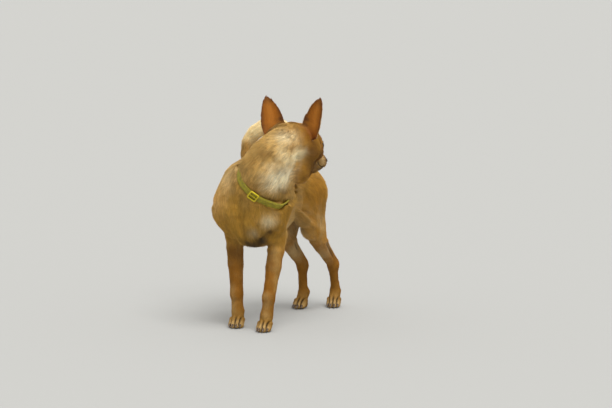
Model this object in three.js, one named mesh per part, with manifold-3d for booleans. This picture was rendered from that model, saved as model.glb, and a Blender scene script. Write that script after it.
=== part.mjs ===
// A small fawn dog, life size, standing on all fours and looking back over its left shoulder.
// It has large upright ears, a tail curled to its right side, and a buckled collar.
//
// Millimetres. +Z is up, +X is the dog's left and -Y is its front. The body is one field of soft
// round masses, joined smoothly as muscles are, and each node is the part of that field in its own
// zone, with a thin cut to its neighbours. The feet stand on small flats at z = 0.

import * as THREE from "three";
import { ParametricGeometry } from "three/addons/geometries/ParametricGeometry.js";
import { mergeVertices } from "three/addons/utils/BufferGeometryUtils.js";
import Module from "manifold-3d";

const wasm = await Module();
wasm.setup();

// ---------------------------------------------------------------- driving dimensions

const GAP = 0.3; // clearance at every cut
const FACET_SHARE = 0.14; // how far facets may stray from the flesh, as a share of the cell size
const SPINE = { x: -17, y: -20, bend: 500 }; // its middle, and the radius it bends to the left by

const HEAD = { x: 74, y: -76, z: 389, yaw: 176.5, pitch: 18, roll: 3, scale: 1.2 };
const EYE = { forward: 37, side: 21, up: 6, radius: 8.2 };
const EAR = { length: 97, width: 61.5, wall: 5, cup: 2.2, lean: 12, turn: { left: 33, right: 12 } };
const EAR_BASE = { forward: -15, side: 33, up: 4 }; // on the head, in its own scale

// Where each foot's main pad stands: to the side of the middle line, along the body, and its turn.
const FEET = {
  fore_left: { side: 1, x: 34, y: -143, turn: 8, fore: true },
  fore_right: { side: -1, x: -41, y: -128, turn: 12, fore: true },
  hind_left: { side: 1, x: 23, y: 187, turn: 18, fore: false, knee: 29 },
  hind_right: { side: -1, x: -31, y: 140, turn: -2, fore: false, knee: -45 },
};

// The collar's ring: its middle, the way it faces, and the side of it that the buckle is on.
const COLLAR = {
  middle: { x: 28.7, y: -137.7, z: 311 },
  axis: { x: 0.693, y: -0.3, z: 0.654 },
  near: { x: 0.12, y: -0.95, z: -0.27 },
  width: 15,
  sunk: 1.8,
  proud: 0.9,
  reach: 60,
};
const BUCKLE = { long: 21, wide: 22, bar: 2.6, thick: 2.6, turn: -1 };

const COAT = 0xa8783c;
const COAT_PALE = 0xc2a878;
const COAT_RUST = 0x8f531c;
const EYE_BROWN = 0x2a1608;
const NOSE_BLACK = 0x1c1714;
const CLAW_HORN = 0x3a2f27;
const COLLAR_YELLOW = 0x8c8a10;
const BUCKLE_YELLOW = 0xd8cc28;

// ---------------------------------------------------------------- small helpers

const point = (x, y, z) => new THREE.Vector3(x, y, z);
const radians = THREE.MathUtils.degToRad;
const lerp = THREE.MathUtils.lerp;
const LEFT = point(1, 0, 0);

// A place on the body: to its left, along its spine towards the tail, and up.
function at(side, along, up) {
  const angle = (along - SPINE.y) / SPINE.bend;
  return point(
    SPINE.x + SPINE.bend * (1 - Math.cos(angle)) + side * Math.cos(angle),
    SPINE.y + (SPINE.bend - side) * Math.sin(angle),
    up,
  );
}

// The head's own frame: forward to the nose, to its left, and up.
const headTurn = new THREE.Matrix4().makeRotationZ(radians(HEAD.yaw));
headTurn.multiply(new THREE.Matrix4().makeRotationX(radians(HEAD.pitch)));
headTurn.multiply(new THREE.Matrix4().makeRotationY(radians(HEAD.roll)));
const headFrame = headTurn
  .clone()
  .setPosition(HEAD.x, HEAD.y, HEAD.z)
  .scale(point(HEAD.scale, HEAD.scale, HEAD.scale));
const onHead = (forward, side, up) => point(side, -forward, up).applyMatrix4(headFrame);
const headWay = (forward, side, up) =>
  point(side, -forward, up).transformDirection(headTurn);

// ---------------------------------------------------------------- the field of masses

// One mass of muscle or bone: a round cone from one point to another. Its width along `across` is
// `narrow` times its height. The value is the distance to its surface, negative inside.
function mass(from, to, startRadius, endRadius, options = {}) {
  const { narrow = 1, across = LEFT, blend = 16 } = options;
  const axis = to.clone().sub(from);
  const lengthSq = Math.max(axis.lengthSq(), 1e-6);
  const stretch = 1 / narrow - 1;
  const field = (x, y, z) => {
    let dx = x - from.x;
    let dy = y - from.y;
    let dz = z - from.z;
    const share = THREE.MathUtils.clamp((dx * axis.x + dy * axis.y + dz * axis.z) / lengthSq, 0, 1);
    dx -= axis.x * share;
    dy -= axis.y * share;
    dz -= axis.z * share;
    const more = (dx * across.x + dy * across.y + dz * across.z) * stretch;
    const distance = Math.hypot(
      dx + across.x * more,
      dy + across.y * more,
      dz + across.z * more,
    );
    return (distance - lerp(startRadius, endRadius, share)) * Math.min(1, (1 + narrow) / 2);
  };
  return { field, blend };
}

const ball = (centre, radius, options) => mass(centre, centre, radius, radius, options);

// One mass along a curve: `stations` are [point, radius] pairs.
function chain(stations, options = {}) {
  const { blend = 16 } = options;
  const parts = stations
    .slice(1)
    .map(([to, radius], i) => mass(stations[i][0], to, stations[i][1], radius, { ...options, blend: 5 }));
  return { field: joined(parts), blend };
}

// All masses as one skin, each melting into those before it over its own blend width.
function joined(masses) {
  return (x, y, z) => {
    let nearest = 1e3;
    for (const { field, blend } of masses) {
      const next = field(x, y, z);
      const close = Math.max(blend - Math.abs(nearest - next), 0) / blend;
      nearest = Math.min(nearest, next) - (close * close * blend) / 4;
    }
    return nearest;
  };
}

// ---------------------------------------------------------------- flesh

const both = (make) => [1, -1].flatMap(make);

function trunkMasses() {
  return [
    mass(at(0, -100, 254), at(0, -20, 258), 72, 66, { narrow: 0.8, blend: 20 }),
    mass(at(-38, -131, 258), at(30, -124, 262), 51, 48, { blend: 26 }),
    ball(point(-22, -122, 302), 54, { blend: 24 }),
    ball(point(34, -106, 282), 38, { blend: 24 }),
    mass(at(0, -110, 300), at(0, -40, 292), 38, 38, { narrow: 0.85, blend: 26 }),
    mass(at(0, -40, 286), at(0, 90, 272), 40, 38, { blend: 26 }),
    mass(at(0, -132, 213), at(0, -60, 203), 40, 36, { blend: 24 }),
    mass(at(0, -30, 250), at(0, 60, 262), 58, 44, { narrow: 0.85, blend: 24 }),
    mass(at(0, 62, 262), at(0, 100, 260), 44, 42, { blend: 24 }),
    ball(at(0, 112, 262), 34, { blend: 20 }),
  ];
}

function shoulderMasses() {
  return both((side) => [
    mass(at(side * 26, -86, 308), at(side * 40, -134, 244), 22, 32, { narrow: 0.85, blend: 22 }),
    mass(at(side * 43, -134, 240), at(side * 48, -106, 198), 30, 21, { narrow: 0.9, blend: 18 }),
    mass(at(side * 42, -92, 250), at(side * 48, -98, 200), 27, 17, { narrow: 0.75, blend: 18 }),
  ]);
}

// A foreleg from the elbow to the pastern, above the foot at `foot`.
function forelegMasses(foot) {
  const { side } = foot;
  const elbow = at(side * 49, -104, 196);
  const wrist = point(foot.x + side * 5, foot.y + 4, 72);
  const mid = elbow.clone().lerp(wrist, 0.5).add(point(1.5, -3, 0));
  const pastern = point(foot.x + side * 2, foot.y + 2, 34);
  return [
    chain(
      [
        [elbow, 20],
        [mid, 16.2],
        [wrist, 13],
        [pastern, 12.2],
      ],
      { blend: 9 },
    ),
    ball(wrist.clone().add(point(0, -2.5, -3)), 10.8, { blend: 8 }),
    ball(elbow.clone().add(point(side * 1, 14, 2)), 11, { blend: 12 }),
  ];
}

// A hind leg from the hip to the pastern, above the foot at `foot`.
function hindLegMasses(foot) {
  const { side } = foot;
  const back = foot.y - 165; // how far this leg is set back from the middle of its pair
  const hip = at(side * 22, 84, 256);
  const knee = point(foot.knee, 60 + back * 0.15, 190);
  const ischium = point(foot.knee * 0.55, 103, 247);
  const hock = point(foot.x + side * 1, foot.y - 3 - back * 0.25, 92);
  const heel = hock.clone().add(point(0, 10, 8));
  const calf = knee.clone().lerp(hock, 0.42).add(point(0, 4, 2));
  const pastern = point(foot.x, foot.y + 6, 34);
  return [
    mass(hip, knee, 38, 23, { narrow: 0.72, blend: 18 }),
    mass(ischium, calf, 31, 16, { narrow: 0.72, blend: 18 }),
    mass(knee, hock, 21, 11, { narrow: 0.85, blend: 12 }),
    mass(calf, heel, 12, 7, { blend: 8 }),
    ball(hock, 11, { blend: 9 }),
    mass(hock, pastern, 10.2, 10, { blend: 8 }),
  ];
}

// The foot's frame: across to the dog's left, along towards the toes, and up.
function footPlace(foot) {
  const turn = radians(foot.turn);
  return (across, along, up) =>
    point(
      foot.x + across * Math.cos(turn) + along * Math.sin(turn),
      foot.y + across * Math.sin(turn) - along * Math.cos(turn),
      up,
    );
}

const TOES = [
  { across: -10.6, reach: 15 },
  { across: -4, reach: 22 },
  { across: 4, reach: 22 },
  { across: 10.6, reach: 15 },
];

function pawMasses(foot) {
  const place = footPlace(foot);
  const upper = foot.fore ? place(0, -1, 34) : place(0, -11, 34);
  const size = foot.fore ? 1 : 0.93;
  return [
    mass(upper, place(0, 2, 19), 11.8 * size, 13.2 * size, { blend: 8 }),
    ball(place(0, -4, 8), 11 * size, { blend: 7 }),
    ...TOES.flatMap(({ across, reach }) => {
      const knuckle = place(across * 0.86 * size, (reach - 10) * size, 16);
      const tip = place(across * size, reach * size, 6.2);
      return [mass(knuckle, tip, 7.6 * size, 6.6 * size, { blend: 3.2 })];
    }),
  ];
}

// The neck rises from the chest, comes forward and turns back on itself to the dog's left.
const NECK = [
  [point(-14, -112, 284), 55],
  [point(10, -132, 304), 55],
  [point(31, -145, 337), 52],
  [point(49, -137, 365), 48],
  [point(60, -114, 383), 42],
  [onHead(-16, 0, -6), 33],
];

// The loose skin inside the turn, which fills the crook from the jaw down to the left shoulder.
const THROAT = [
  [point(71, -93, 358), 30],
  [point(74, -92, 338), 35],
  [point(66, -97, 322), 34],
  [point(57, -110, 303), 34],
  [point(44, -116, 283), 34],
];

function headMasses() {
  const wide = { across: headWay(0, 1, 0) };
  const k = HEAD.scale;
  const sides = (make) => [1, -1].map(make);
  return [
    mass(onHead(-24, 0, 1), onHead(6, 0, 3), 33 * k, 33 * k, { ...wide, narrow: 1.14, blend: 22 }),
    mass(onHead(12, 0, 11), onHead(27, 0, 5), 24 * k, 17 * k, { ...wide, narrow: 1.2, blend: 14 }),
    ...sides((s) =>
      mass(onHead(0, s * 27, -12), onHead(32, s * 21, -9), 19 * k, 12 * k, { blend: 14 }),
    ),
    ...sides((s) => ball(onHead(30, s * 17.5, 12), 10.8 * k, { blend: 10 })),
    mass(onHead(36, 0, -5), onHead(84, 0, -12), 17.5 * k, 10.5 * k, { ...wide, narrow: 0.92, blend: 12 }),
    ...sides((s) =>
      mass(onHead(44, s * 8, -16), onHead(80, s * 4.5, -19), 11 * k, 8 * k, { blend: 8 }),
    ),
    ...sides((s) =>
      mass(onHead(4, s * 18, -30), onHead(58, s * 4, -31), 12 * k, 7.5 * k, { blend: 10 }),
    ),
    mass(onHead(58, 0, -30), onHead(76, 0, -27), 8 * k, 6.5 * k, { blend: 8 }),
  ];
}

// The tail rises from the croup and curls in a ring over the dog's right side.
const TAIL = { base: at(0, 124, 288), centre: point(-70, 78, 343.5), ring: 55.5, from: -12, to: 208 };

function tailStations() {
  const out = TAIL.centre.clone().sub(TAIL.base).setZ(0).normalize();
  const stations = [[TAIL.base, 17]];
  const steps = 8;
  for (let i = 0; i <= steps; i++) {
    const share = i / steps;
    const angle = radians(lerp(TAIL.from, TAIL.to, share));
    const place = TAIL.centre.clone().addScaledVector(out, -TAIL.ring * Math.cos(angle));
    place.z += TAIL.ring * Math.sin(angle);
    stations.push([place, share < 0.5 ? lerp(15, 17, share * 2) : lerp(17, 10, share * 2 - 1)]);
  }
  return stations;
}

const feet = Object.entries(FEET);
const forefeet = feet.filter(([, foot]) => foot.fore);
const hindFeet = feet.filter(([, foot]) => !foot.fore);
const neckMass = chain(NECK, { blend: 22 });
const throatMass = chain(THROAT, { blend: 16 });
const tailMass = chain(tailStations(), { blend: 12 });

// The head and the trunk both melt into the neck, but not into each other where the chin is near.
const trunkSide = joined([
  ...trunkMasses(),
  ...shoulderMasses(),
  ...forefeet.flatMap(([, foot]) => forelegMasses(foot)),
  ...hindFeet.flatMap(([, foot]) => hindLegMasses(foot)),
  ...feet.flatMap(([, foot]) => pawMasses(foot)),
  tailMass,
  neckMass,
  throatMass,
]);
const headSide = joined([...headMasses(), neckMass, throatMass]);
const headFlesh = joined([...headMasses(), chain(NECK.slice(3), { blend: 22 }), throatMass]);
const body = (x, y, z) => Math.min(trunkSide(x, y, z), headSide(x, y, z));

// ---------------------------------------------------------------- from the field to solids

// Surface nets: one vertex in each cell that the surface crosses, moved onto the surface, and one
// quad for each grid edge that it crosses. The grid's rim counts as outside, so the net is closed.
function net(field, low, high, cell) {
  const count = ["x", "y", "z"].map((a) => Math.ceil((high[a] - low[a]) / cell) + 1);
  const step = [1, count[0], count[0] * count[1]];
  const index = (i, j, k) => i + j * step[1] + k * step[2];
  const values = new Float32Array(count[0] * count[1] * count[2]);
  const grid = (visit, margin) => {
    for (let k = 0; k < count[2] - margin; k++)
      for (let j = 0; j < count[1] - margin; j++)
        for (let i = 0; i < count[0] - margin; i++) visit(i, j, k, index(i, j, k));
  };
  const isRim = (i, j, k) => [i, j, k].some((n, a) => n === 0 || n === count[a] - 1);
  grid((i, j, k, n) => {
    const value = field(low.x + i * cell, low.y + j * cell, low.z + k * cell);
    values[n] = isRim(i, j, k) ? Math.max(value, cell / 4) : value;
  }, 0);

  const corners = [0, 1, 2, 3, 4, 5, 6, 7].map((c) => [c & 1, (c >> 1) & 1, (c >> 2) & 1]);
  const cellVertex = new Int32Array(values.length).fill(-1);
  const positions = [];
  grid((i, j, k, n) => {
    const inside = corners.map(([a, b, c]) => values[n + a * step[0] + b * step[1] + c * step[2]]);
    const sum = point(0, 0, 0);
    let crossings = 0;
    corners.forEach((corner, c) => {
      [1, 2, 4].forEach((bit) => {
        if (c & bit || inside[c] < 0 === inside[c | bit] < 0) return;
        const share = inside[c] / (inside[c] - inside[c | bit]);
        const place = corner.map((value, a) => value + (bit === 1 << a ? share : 0));
        sum.add(point(...place));
        crossings++;
      });
    });
    if (!crossings) return;
    sum.multiplyScalar(cell / crossings).add(low).add(point(i, j, k).multiplyScalar(cell));
    cellVertex[n] = positions.length / 3;
    positions.push(...settled(field, sum, cell));
  }, 1);

  const indices = [];
  grid((i, j, k, n) => {
    [0, 1, 2].forEach((a) => {
      const b = (a + 1) % 3;
      const c = (a + 2) % 3;
      const at = [i, j, k];
      if (at[b] === 0 || at[c] === 0) return;
      const here = values[n] < 0;
      if (here === values[n + step[a]] < 0) return;
      const ring = [0, step[b], step[b] + step[c], step[c]].map((back) => cellVertex[n - back]);
      const [p, q, r, s] = here ? ring : ring.reverse();
      indices.push(p, q, r, p, r, s);
    });
  }, 1);
  return new THREE.BufferGeometry()
    .setAttribute("position", new THREE.Float32BufferAttribute(positions, 3))
    .setIndex(indices);
}

// A vertex moved along the field's slope until it lies on the surface, by half a cell at most.
function settled(field, place, cell) {
  const probe = 0.2;
  const start = place.clone();
  for (let round = 0; round < 3; round++) {
    const { x, y, z } = place;
    const slope = point(
      field(x + probe, y, z) - field(x - probe, y, z),
      field(x, y + probe, z) - field(x, y - probe, z),
      field(x, y, z + probe) - field(x, y, z - probe),
    ).divideScalar(2 * probe);
    place.addScaledVector(slope, -field(x, y, z) / Math.max(slope.lengthSq(), 0.05));
  }
  place.sub(start).clampLength(0, cell / 2).add(start);
  return place.toArray();
}

// A closed three.js geometry as a manifold-3d solid, without the faces that its poles collapse.
function solid(geometry, matrix = new THREE.Matrix4()) {
  const loose = geometry.index ? geometry.toNonIndexed() : geometry;
  const bare = new THREE.BufferGeometry()
    .setAttribute("position", loose.getAttribute("position").clone())
    .applyMatrix4(matrix);
  const merged = mergeVertices(bare, 1e-3);
  const corner = merged.index.array;
  const triVerts = [];
  for (let i = 0; i < corner.length; i += 3) {
    const [a, b, c] = corner.slice(i, i + 3);
    if (a !== b && b !== c && c !== a) triVerts.push(a, b, c);
  }
  const vertProperties = merged.attributes.position.array;
  const made = (order) =>
    new wasm.Manifold(new wasm.Mesh({ numProp: 3, vertProperties, triVerts: new Uint32Array(order) }));
  const shape = made(triVerts);
  return shape.volume() > 0 ? shape : made(triVerts.reverse());
}

// A manifold-3d solid as a named three.js mesh.
function node(name, shape, colour, roughness = 0.9, metalness = 0) {
  const { vertProperties, triVerts } = shape.getMesh();
  const geometry = new THREE.BufferGeometry()
    .setAttribute("position", new THREE.BufferAttribute(vertProperties, 3))
    .setIndex(new THREE.BufferAttribute(triVerts, 1));
  geometry.computeVertexNormals();
  const material = new THREE.MeshStandardMaterial({ color: colour, roughness, metalness });
  const mesh = new THREE.Mesh(geometry, material);
  mesh.name = name;
  return mesh;
}

// The flesh inside a box, meshed at its own cell size, with the facets that it doesn't need merged.
const flesh = ([low, high], cell, field) =>
  solid(net(field, low, high, cell)).simplify(cell * FACET_SHARE);

// A block for parting the flesh: an outline in the X-Z plane, run from `front` to `back`.
function block(outline, front, back, grow = 0) {
  const shape = new THREE.Shape(outline.map(([x, z]) => new THREE.Vector2(x, z)));
  const depth = back - front + 2 * grow;
  const geometry = new THREE.ExtrudeGeometry(shape, { depth, bevelEnabled: false });
  const matrix = new THREE.Matrix4().makeTranslation(0, back + grow, 0);
  return solid(geometry, matrix.multiply(new THREE.Matrix4().makeRotationX(Math.PI / 2)));
}

// ---------------------------------------------------------------- zones

const collarMiddle = point(COLLAR.middle.x, COLLAR.middle.y, COLLAR.middle.z);
const collarAxis = point(COLLAR.axis.x, COLLAR.axis.y, COLLAR.axis.z).normalize();
const collarNear = point(COLLAR.near.x, COLLAR.near.y, COLLAR.near.z)
  .projectOnPlane(collarAxis)
  .normalize();
const collarSide = collarAxis.clone().cross(collarNear);

// The planes that part the head, the neck, the trunk and the tail: a place and the way it faces.
const NAPE = [onHead(-24, 0, 0), headWay(1, -0.62, 0.3)];
const RING = [collarMiddle, collarAxis];
const CROUP = [point(-12, 112, 320), point(-0.5, 0.3, 0.81).normalize()];

const ahead = (shape, [place, way]) => shape.trimByPlane(way.toArray(), place.dot(way) + GAP / 2);
const behind = (shape, [place, way]) => ahead(shape, [place, way.clone().negate()]);

// All the room in a box.
function room([low, high]) {
  const size = high.clone().sub(low);
  const middle = low.clone().add(high).divideScalar(2);
  const geometry = new THREE.BoxGeometry(size.x, size.y, size.z);
  return solid(geometry, new THREE.Matrix4().makeTranslation(middle.x, middle.y, middle.z));
}

const BOXES = {
  head: [point(8, -140, 310), point(150, 78, 470)],
  neck: [point(-76, -220, 240), point(150, -60, 460)],
  tail: [point(-170, 20, 290), point(30, 170, 440)],
  trunk: [point(-130, -230, 130), point(130, 170, 440)],
  throat: [point(0, -200, 240), point(140, -50, 420)],
};
const CELLS = { head: 8.2, neck: 14, tail: 10, trunk: 16, limb: 15, leg: 9.6, paw: 6.2 };

// A limb's block: forelimbs part from the chest, and hind limbs from the loin and the groin.
function limbBlock({ side, fore }, grow = 0) {
  const outline = fore
    ? [[5, -20], [5, 120], [15, 164], [84, 268], [150, 268], [150, -20]]
    : [[-4, -20], [-4, 196], [14, 222], [46, 300], [150, 300], [150, -20]];
  const [front, back, middle] = fore ? [-240, -62, -9] : [30, 290, 0];
  const edge = outline.map(([x, z], i) => [middle + side * (x - (i < 4 ? grow : 0)), z]);
  return block(edge, front, back, grow);
}

// ---------------------------------------------------------------- pieces of the head

// An ear: a cupped leaf, closed all round, from inside the head to its tip.
function ear(side, grow = 0) {
  const outline = (t) => Math.pow(1 - Math.pow(t, 2.3), 0.8) * lerp(0.72, 1, Math.min(1, t / 0.36));
  const place = (a, t, target) => {
    const half = (EAR.width / 2) * outline(t) + 0.6 + grow;
    const round = 2 * Math.PI * a;
    const across = half * Math.cos(round);
    const thick = ((EAR.wall / 2) * lerp(1.25, 0.6, t) + grow) * Math.sin(round);
    const radius = (2 * (half - grow)) / lerp(EAR.cup, 0.9, t);
    const angle = across / radius;
    const pole = t === 0 || t === 1 ? 0 : 1;
    target.set(
      (radius - thick) * Math.sin(angle) * pole + 8 * t * t + 4.5 * (1 - t),
      -((radius - thick) * Math.cos(angle) - radius) * pole,
      EAR.length * t + grow * (2 * t - 1),
    );
  };
  const base = onHead(EAR_BASE.forward, side * EAR_BASE.side, EAR_BASE.up);
  const matrix = new THREE.Matrix4()
    .makeTranslation(base.x, base.y, base.z)
    .multiply(new THREE.Matrix4().makeRotationZ(radians(HEAD.yaw)))
    .multiply(new THREE.Matrix4().makeScale(side, 1, 1))
    .multiply(new THREE.Matrix4().makeRotationY(radians(EAR.lean)))
    .multiply(new THREE.Matrix4().makeRotationZ(radians(side > 0 ? EAR.turn.left : EAR.turn.right)));
  return solid(new ParametricGeometry(place, 14, 8), matrix);
}

// A ball stretched to `size`, in the head's own frame.
function headBall(forward, side, up, size) {
  const matrix = headFrame.clone().multiply(new THREE.Matrix4().makeTranslation(side, -forward, up));
  matrix.multiply(new THREE.Matrix4().makeScale(...size));
  return solid(new THREE.SphereGeometry(1, 10, 7), matrix);
}

const eye = (side, grow = 0) =>
  headBall(EYE.forward, side * EYE.side, EYE.up, Array(3).fill(EYE.radius + grow));
const nose = (grow = 0) => headBall(90, 0, -11.5, [8.6 + grow, 6.6 + grow, 6.2 + grow]);

// ---------------------------------------------------------------- claws

const CLAW_SHAPE = [
  [0, -3],
  [2.3, -3],
  [2, 3],
  [0.9, 8],
  [0, 9.6],
].map(([r, z]) => new THREE.Vector2(r, z));

function claw(foot, { across, reach }, grow = 0) {
  const size = foot.fore ? 1 : 0.93;
  const profile = CLAW_SHAPE.map(({ x, y }) => new THREE.Vector2(x ? x + grow : 0, y + Math.sign(y) * grow));
  const start = footPlace(foot)(across * size * 1.03, (reach + 4.4) * size, 7.6);
  const end = footPlace(foot)(across * size * 1.1, (reach + 13) * size, 2.9);
  const turn = new THREE.Quaternion().setFromUnitVectors(point(0, 0, 1), end.sub(start).normalize());
  const matrix = new THREE.Matrix4().compose(start, turn, point(1, 1, 1));
  return solid(new THREE.LatheGeometry(profile, 5).rotateX(Math.PI / 2), matrix);
}

// ---------------------------------------------------------------- collar

// The place on the collar's ring at a turn from its near side, `along` the axis from its middle
// line, and `out` from the surface of the neck. Inside the turn of the neck the strap runs buried
// in the fold, so nothing stands `out` past `cover` there.
function collarPlace(turn, along, out, cover = out) {
  const way = collarNear
    .clone()
    .multiplyScalar(Math.cos(turn))
    .addScaledVector(collarSide, Math.sin(turn));
  const surface = (distance) => {
    const probe = collarMiddle.clone().addScaledVector(way, distance);
    return body(probe.x, probe.y, probe.z);
  };
  let reach = 30;
  while (reach < COLLAR.reach && surface(reach) < 0) reach += 1;
  for (let step = 0.5; step > 0.02; step /= 2) reach += surface(reach) < 0 ? step : -step;
  const buried = surface(COLLAR.reach + 8) < 0;
  return collarMiddle
    .clone()
    .addScaledVector(collarAxis, along)
    .addScaledVector(way, reach + (buried ? Math.min(out, cover) : out));
}

// The strap's band, or, grown, the groove that it lies in.
function collarBand(grow, outside) {
  const half = COLLAR.width / 2 + grow;
  const corners = [
    [half, -COLLAR.sunk - grow],
    [half, outside],
    [-half, outside],
    [-half, -COLLAR.sunk - grow],
  ];
  const place = (a, loop, target) => {
    const [along, out] = corners[Math.round(loop * 4) % 4];
    target.copy(collarPlace(2 * Math.PI * (a % 1), along, out, COLLAR.proud + grow));
  };
  return solid(new ParametricGeometry(place, 36, 4));
}

// A plate with a hole, lying on the strap: `long` along it, `wide` across it.
function plate(long, wide, holeLong, holeWide, thick, turn, out) {
  const outline = (l, w, Path) => {
    const round = Math.min(l, w) * 0.16;
    const path = new Path();
    path.moveTo(-l / 2 + round, -w / 2);
    path.lineTo(l / 2 - round, -w / 2);
    path.quadraticCurveTo(l / 2, -w / 2, l / 2, -w / 2 + round);
    path.lineTo(l / 2, w / 2 - round);
    path.quadraticCurveTo(l / 2, w / 2, l / 2 - round, w / 2);
    path.lineTo(-l / 2 + round, w / 2);
    path.quadraticCurveTo(-l / 2, w / 2, -l / 2, w / 2 - round);
    path.lineTo(-l / 2, -w / 2 + round);
    path.quadraticCurveTo(-l / 2, -w / 2, -l / 2 + round, -w / 2);
    return path;
  };
  const shape = outline(long, wide, THREE.Shape);
  if (holeLong) shape.holes.push(outline(holeLong, holeWide, THREE.Path));
  const geometry = new THREE.ExtrudeGeometry(shape, {
    depth: thick,
    bevelEnabled: false,
    curveSegments: 2,
  });
  return solid(geometry, onStrap(turn, out));
}

// The frame of a thing on the strap: along the strap, across it, and away from the neck.
function onStrap(turn, out) {
  const angle = radians(turn);
  const step = 0.1;
  const place = collarPlace(angle, 0, COLLAR.proud);
  const along = collarPlace(angle + step, 0, 0).sub(collarPlace(angle - step, 0, 0)).normalize();
  const across = collarPlace(angle, 6, 0).sub(collarPlace(angle, -6, 0)).normalize();
  const away = along.clone().cross(across).normalize();
  const square = away.clone().cross(along);
  return new THREE.Matrix4().makeBasis(along, square, away).setPosition(place.addScaledVector(away, out));
}

function buckleFrame(grow = 0) {
  const { long, wide, bar, thick, turn } = BUCKLE;
  const hole = grow ? 0 : long - 2 * bar;
  return plate(long + 2 * grow, wide + 2 * grow, hole, wide - 2 * bar, thick + 2 * grow, turn, GAP - grow);
}

const bucklePin = (grow = 0) =>
  plate(BUCKLE.long - 2 * BUCKLE.bar - 2 * GAP, 2.6, 0, 0, 1.8, BUCKLE.turn, GAP - grow);

// ---------------------------------------------------------------- assembly

const largest = (shape) => shape.decompose().sort((a, b) => b.volume() - a.volume())[0];
const tidy = (shape) => largest(shape).simplify(0.02);
const without = (shape, cuts) => cuts.reduce((rest, cut) => rest.subtract(cut), shape);

const group = new THREE.Group();
const groove = collarBand(GAP, 14);
const buckleRoom = buckleFrame(GAP);
const sides = { left: 1, right: -1 };

const earPockets = Object.values(sides).map((side) => ear(side, 3 * GAP));
const head = tidy(
  without(ahead(flesh(BOXES.head, CELLS.head, headFlesh), NAPE), [
    ...Object.values(sides).map((side) => eye(side, GAP)),
    nose(GAP),
    behind(room(BOXES.throat), RING).translate(collarAxis.clone().multiplyScalar(GAP).toArray()),
    groove,
    ...earPockets,
  ]),
);
const nape = behind(ahead(flesh(BOXES.neck, CELLS.neck, headSide), RING), NAPE);
const neck = tidy(without(nape, [groove, buckleRoom, ...earPockets]));
const trunk = tidy(
  without(behind(flesh(BOXES.trunk, CELLS.trunk, trunkSide), RING), [
    room(BOXES.tail).trimByPlane(CROUP[1].toArray(), CROUP[0].dot(CROUP[1]) - GAP / 2),
    ...feet.map(([, foot]) => limbBlock(foot, GAP)),
    groove,
    buckleRoom,
  ]),
);
const croup = hindFeet.map(([, foot]) => limbBlock(foot, GAP));
const tail = tidy(without(ahead(flesh(BOXES.tail, CELLS.tail, trunkSide), CROUP), croup));
group.add(
  node("head", head, COAT),
  node("neck", neck, COAT_PALE),
  node("trunk", trunk, COAT),
  node("tail", tail, COAT_PALE),
);

// Each limb is parted at the elbow or the knee, and again above the foot.
const JOINT = { fore: 172, hind: 158 };
const WRIST = 38;
const UP = [0, 0, 1];
const DOWN = [0, 0, -1];
for (const [place, foot] of feet) {
  const inner = foot.fore ? -3 : -12;
  const [front, back, top, joint] = foot.fore ? [-240, -56, 290, JOINT.fore] : [24, 250, 318, JOINT.hind];
  const box = (low, high) => {
    const reach = [inner, 116].map((x) => foot.side * x).sort((a, b) => a - b);
    return [point(reach[0], front, low), point(reach[1], back, high)];
  };
  const names = foot.fore ? ["upper_arm", "foreleg", "forepaw"] : ["thigh", "hind_leg", "hind_paw"];
  const [upper, lower, paw] = names.map((name) => `${name}_${foot.side > 0 ? "left" : "right"}`);
  const part = limbBlock(foot);
  const upperShape = flesh(box(joint - 14, top), CELLS.limb, trunkSide)
    .intersect(part)
    .trimByPlane(UP, joint + GAP / 2);
  const lowerShape = flesh(box(WRIST - 14, joint + 14), CELLS.leg, trunkSide)
    .trimByPlane(UP, WRIST + GAP / 2)
    .trimByPlane(DOWN, -(joint - GAP / 2));
  const pawShape = flesh(box(-6, WRIST + 8), CELLS.paw, trunkSide)
    .trimByPlane(UP, 0)
    .trimByPlane(DOWN, -(WRIST - GAP / 2));
  const claws = TOES.map((toe) => claw(foot, toe, GAP));
  group.add(
    node(upper, tidy(upperShape), COAT),
    node(lower, tidy(lowerShape.intersect(part)), COAT),
    node(paw, tidy(without(pawShape, claws)), COAT_PALE),
  );
  TOES.forEach((toe, i) => group.add(node(`claw_${place}_${i + 1}`, claw(foot, toe), CLAW_HORN, 0.45)));
}

for (const [name, side] of Object.entries(sides)) {
  group.add(node(`ear_${name}`, tidy(ear(side)), COAT_RUST));
  group.add(node(`eye_${name}`, eye(side), EYE_BROWN, 0.08));
}
group.add(node("nose", nose(), NOSE_BLACK, 0.4));
group.add(node("collar_strap", collarBand(0, COLLAR.proud), COLLAR_YELLOW, 0.7));
group.add(node("collar_buckle", buckleFrame(), BUCKLE_YELLOW, 0.35));
group.add(node("collar_pin", bucklePin(), BUCKLE_YELLOW, 0.35));

const box = new THREE.Box3().setFromObject(group);
group.position.set(-(box.min.x + box.max.x) / 2, -(box.min.y + box.max.y) / 2, 0);

export default group;
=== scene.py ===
# The looks of a small fawn dog that stands and turns its head back over its left shoulder.
#
# One skin is made from copies of the flesh, sculpted with lids, lips, toes and ears, and covered
# with tufts of short fur that lie along it. Eyes, nose, claws and collar are pieces of their own.
# Everything is in metres, in the frame of the solids: +Z up, +X to the dog's left, -Y its front.

import math
from itertools import product

import bmesh
import bpy
import numpy as np
from mathutils import Euler, Matrix, Vector
from mathutils.bvhtree import BVHTree


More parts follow.
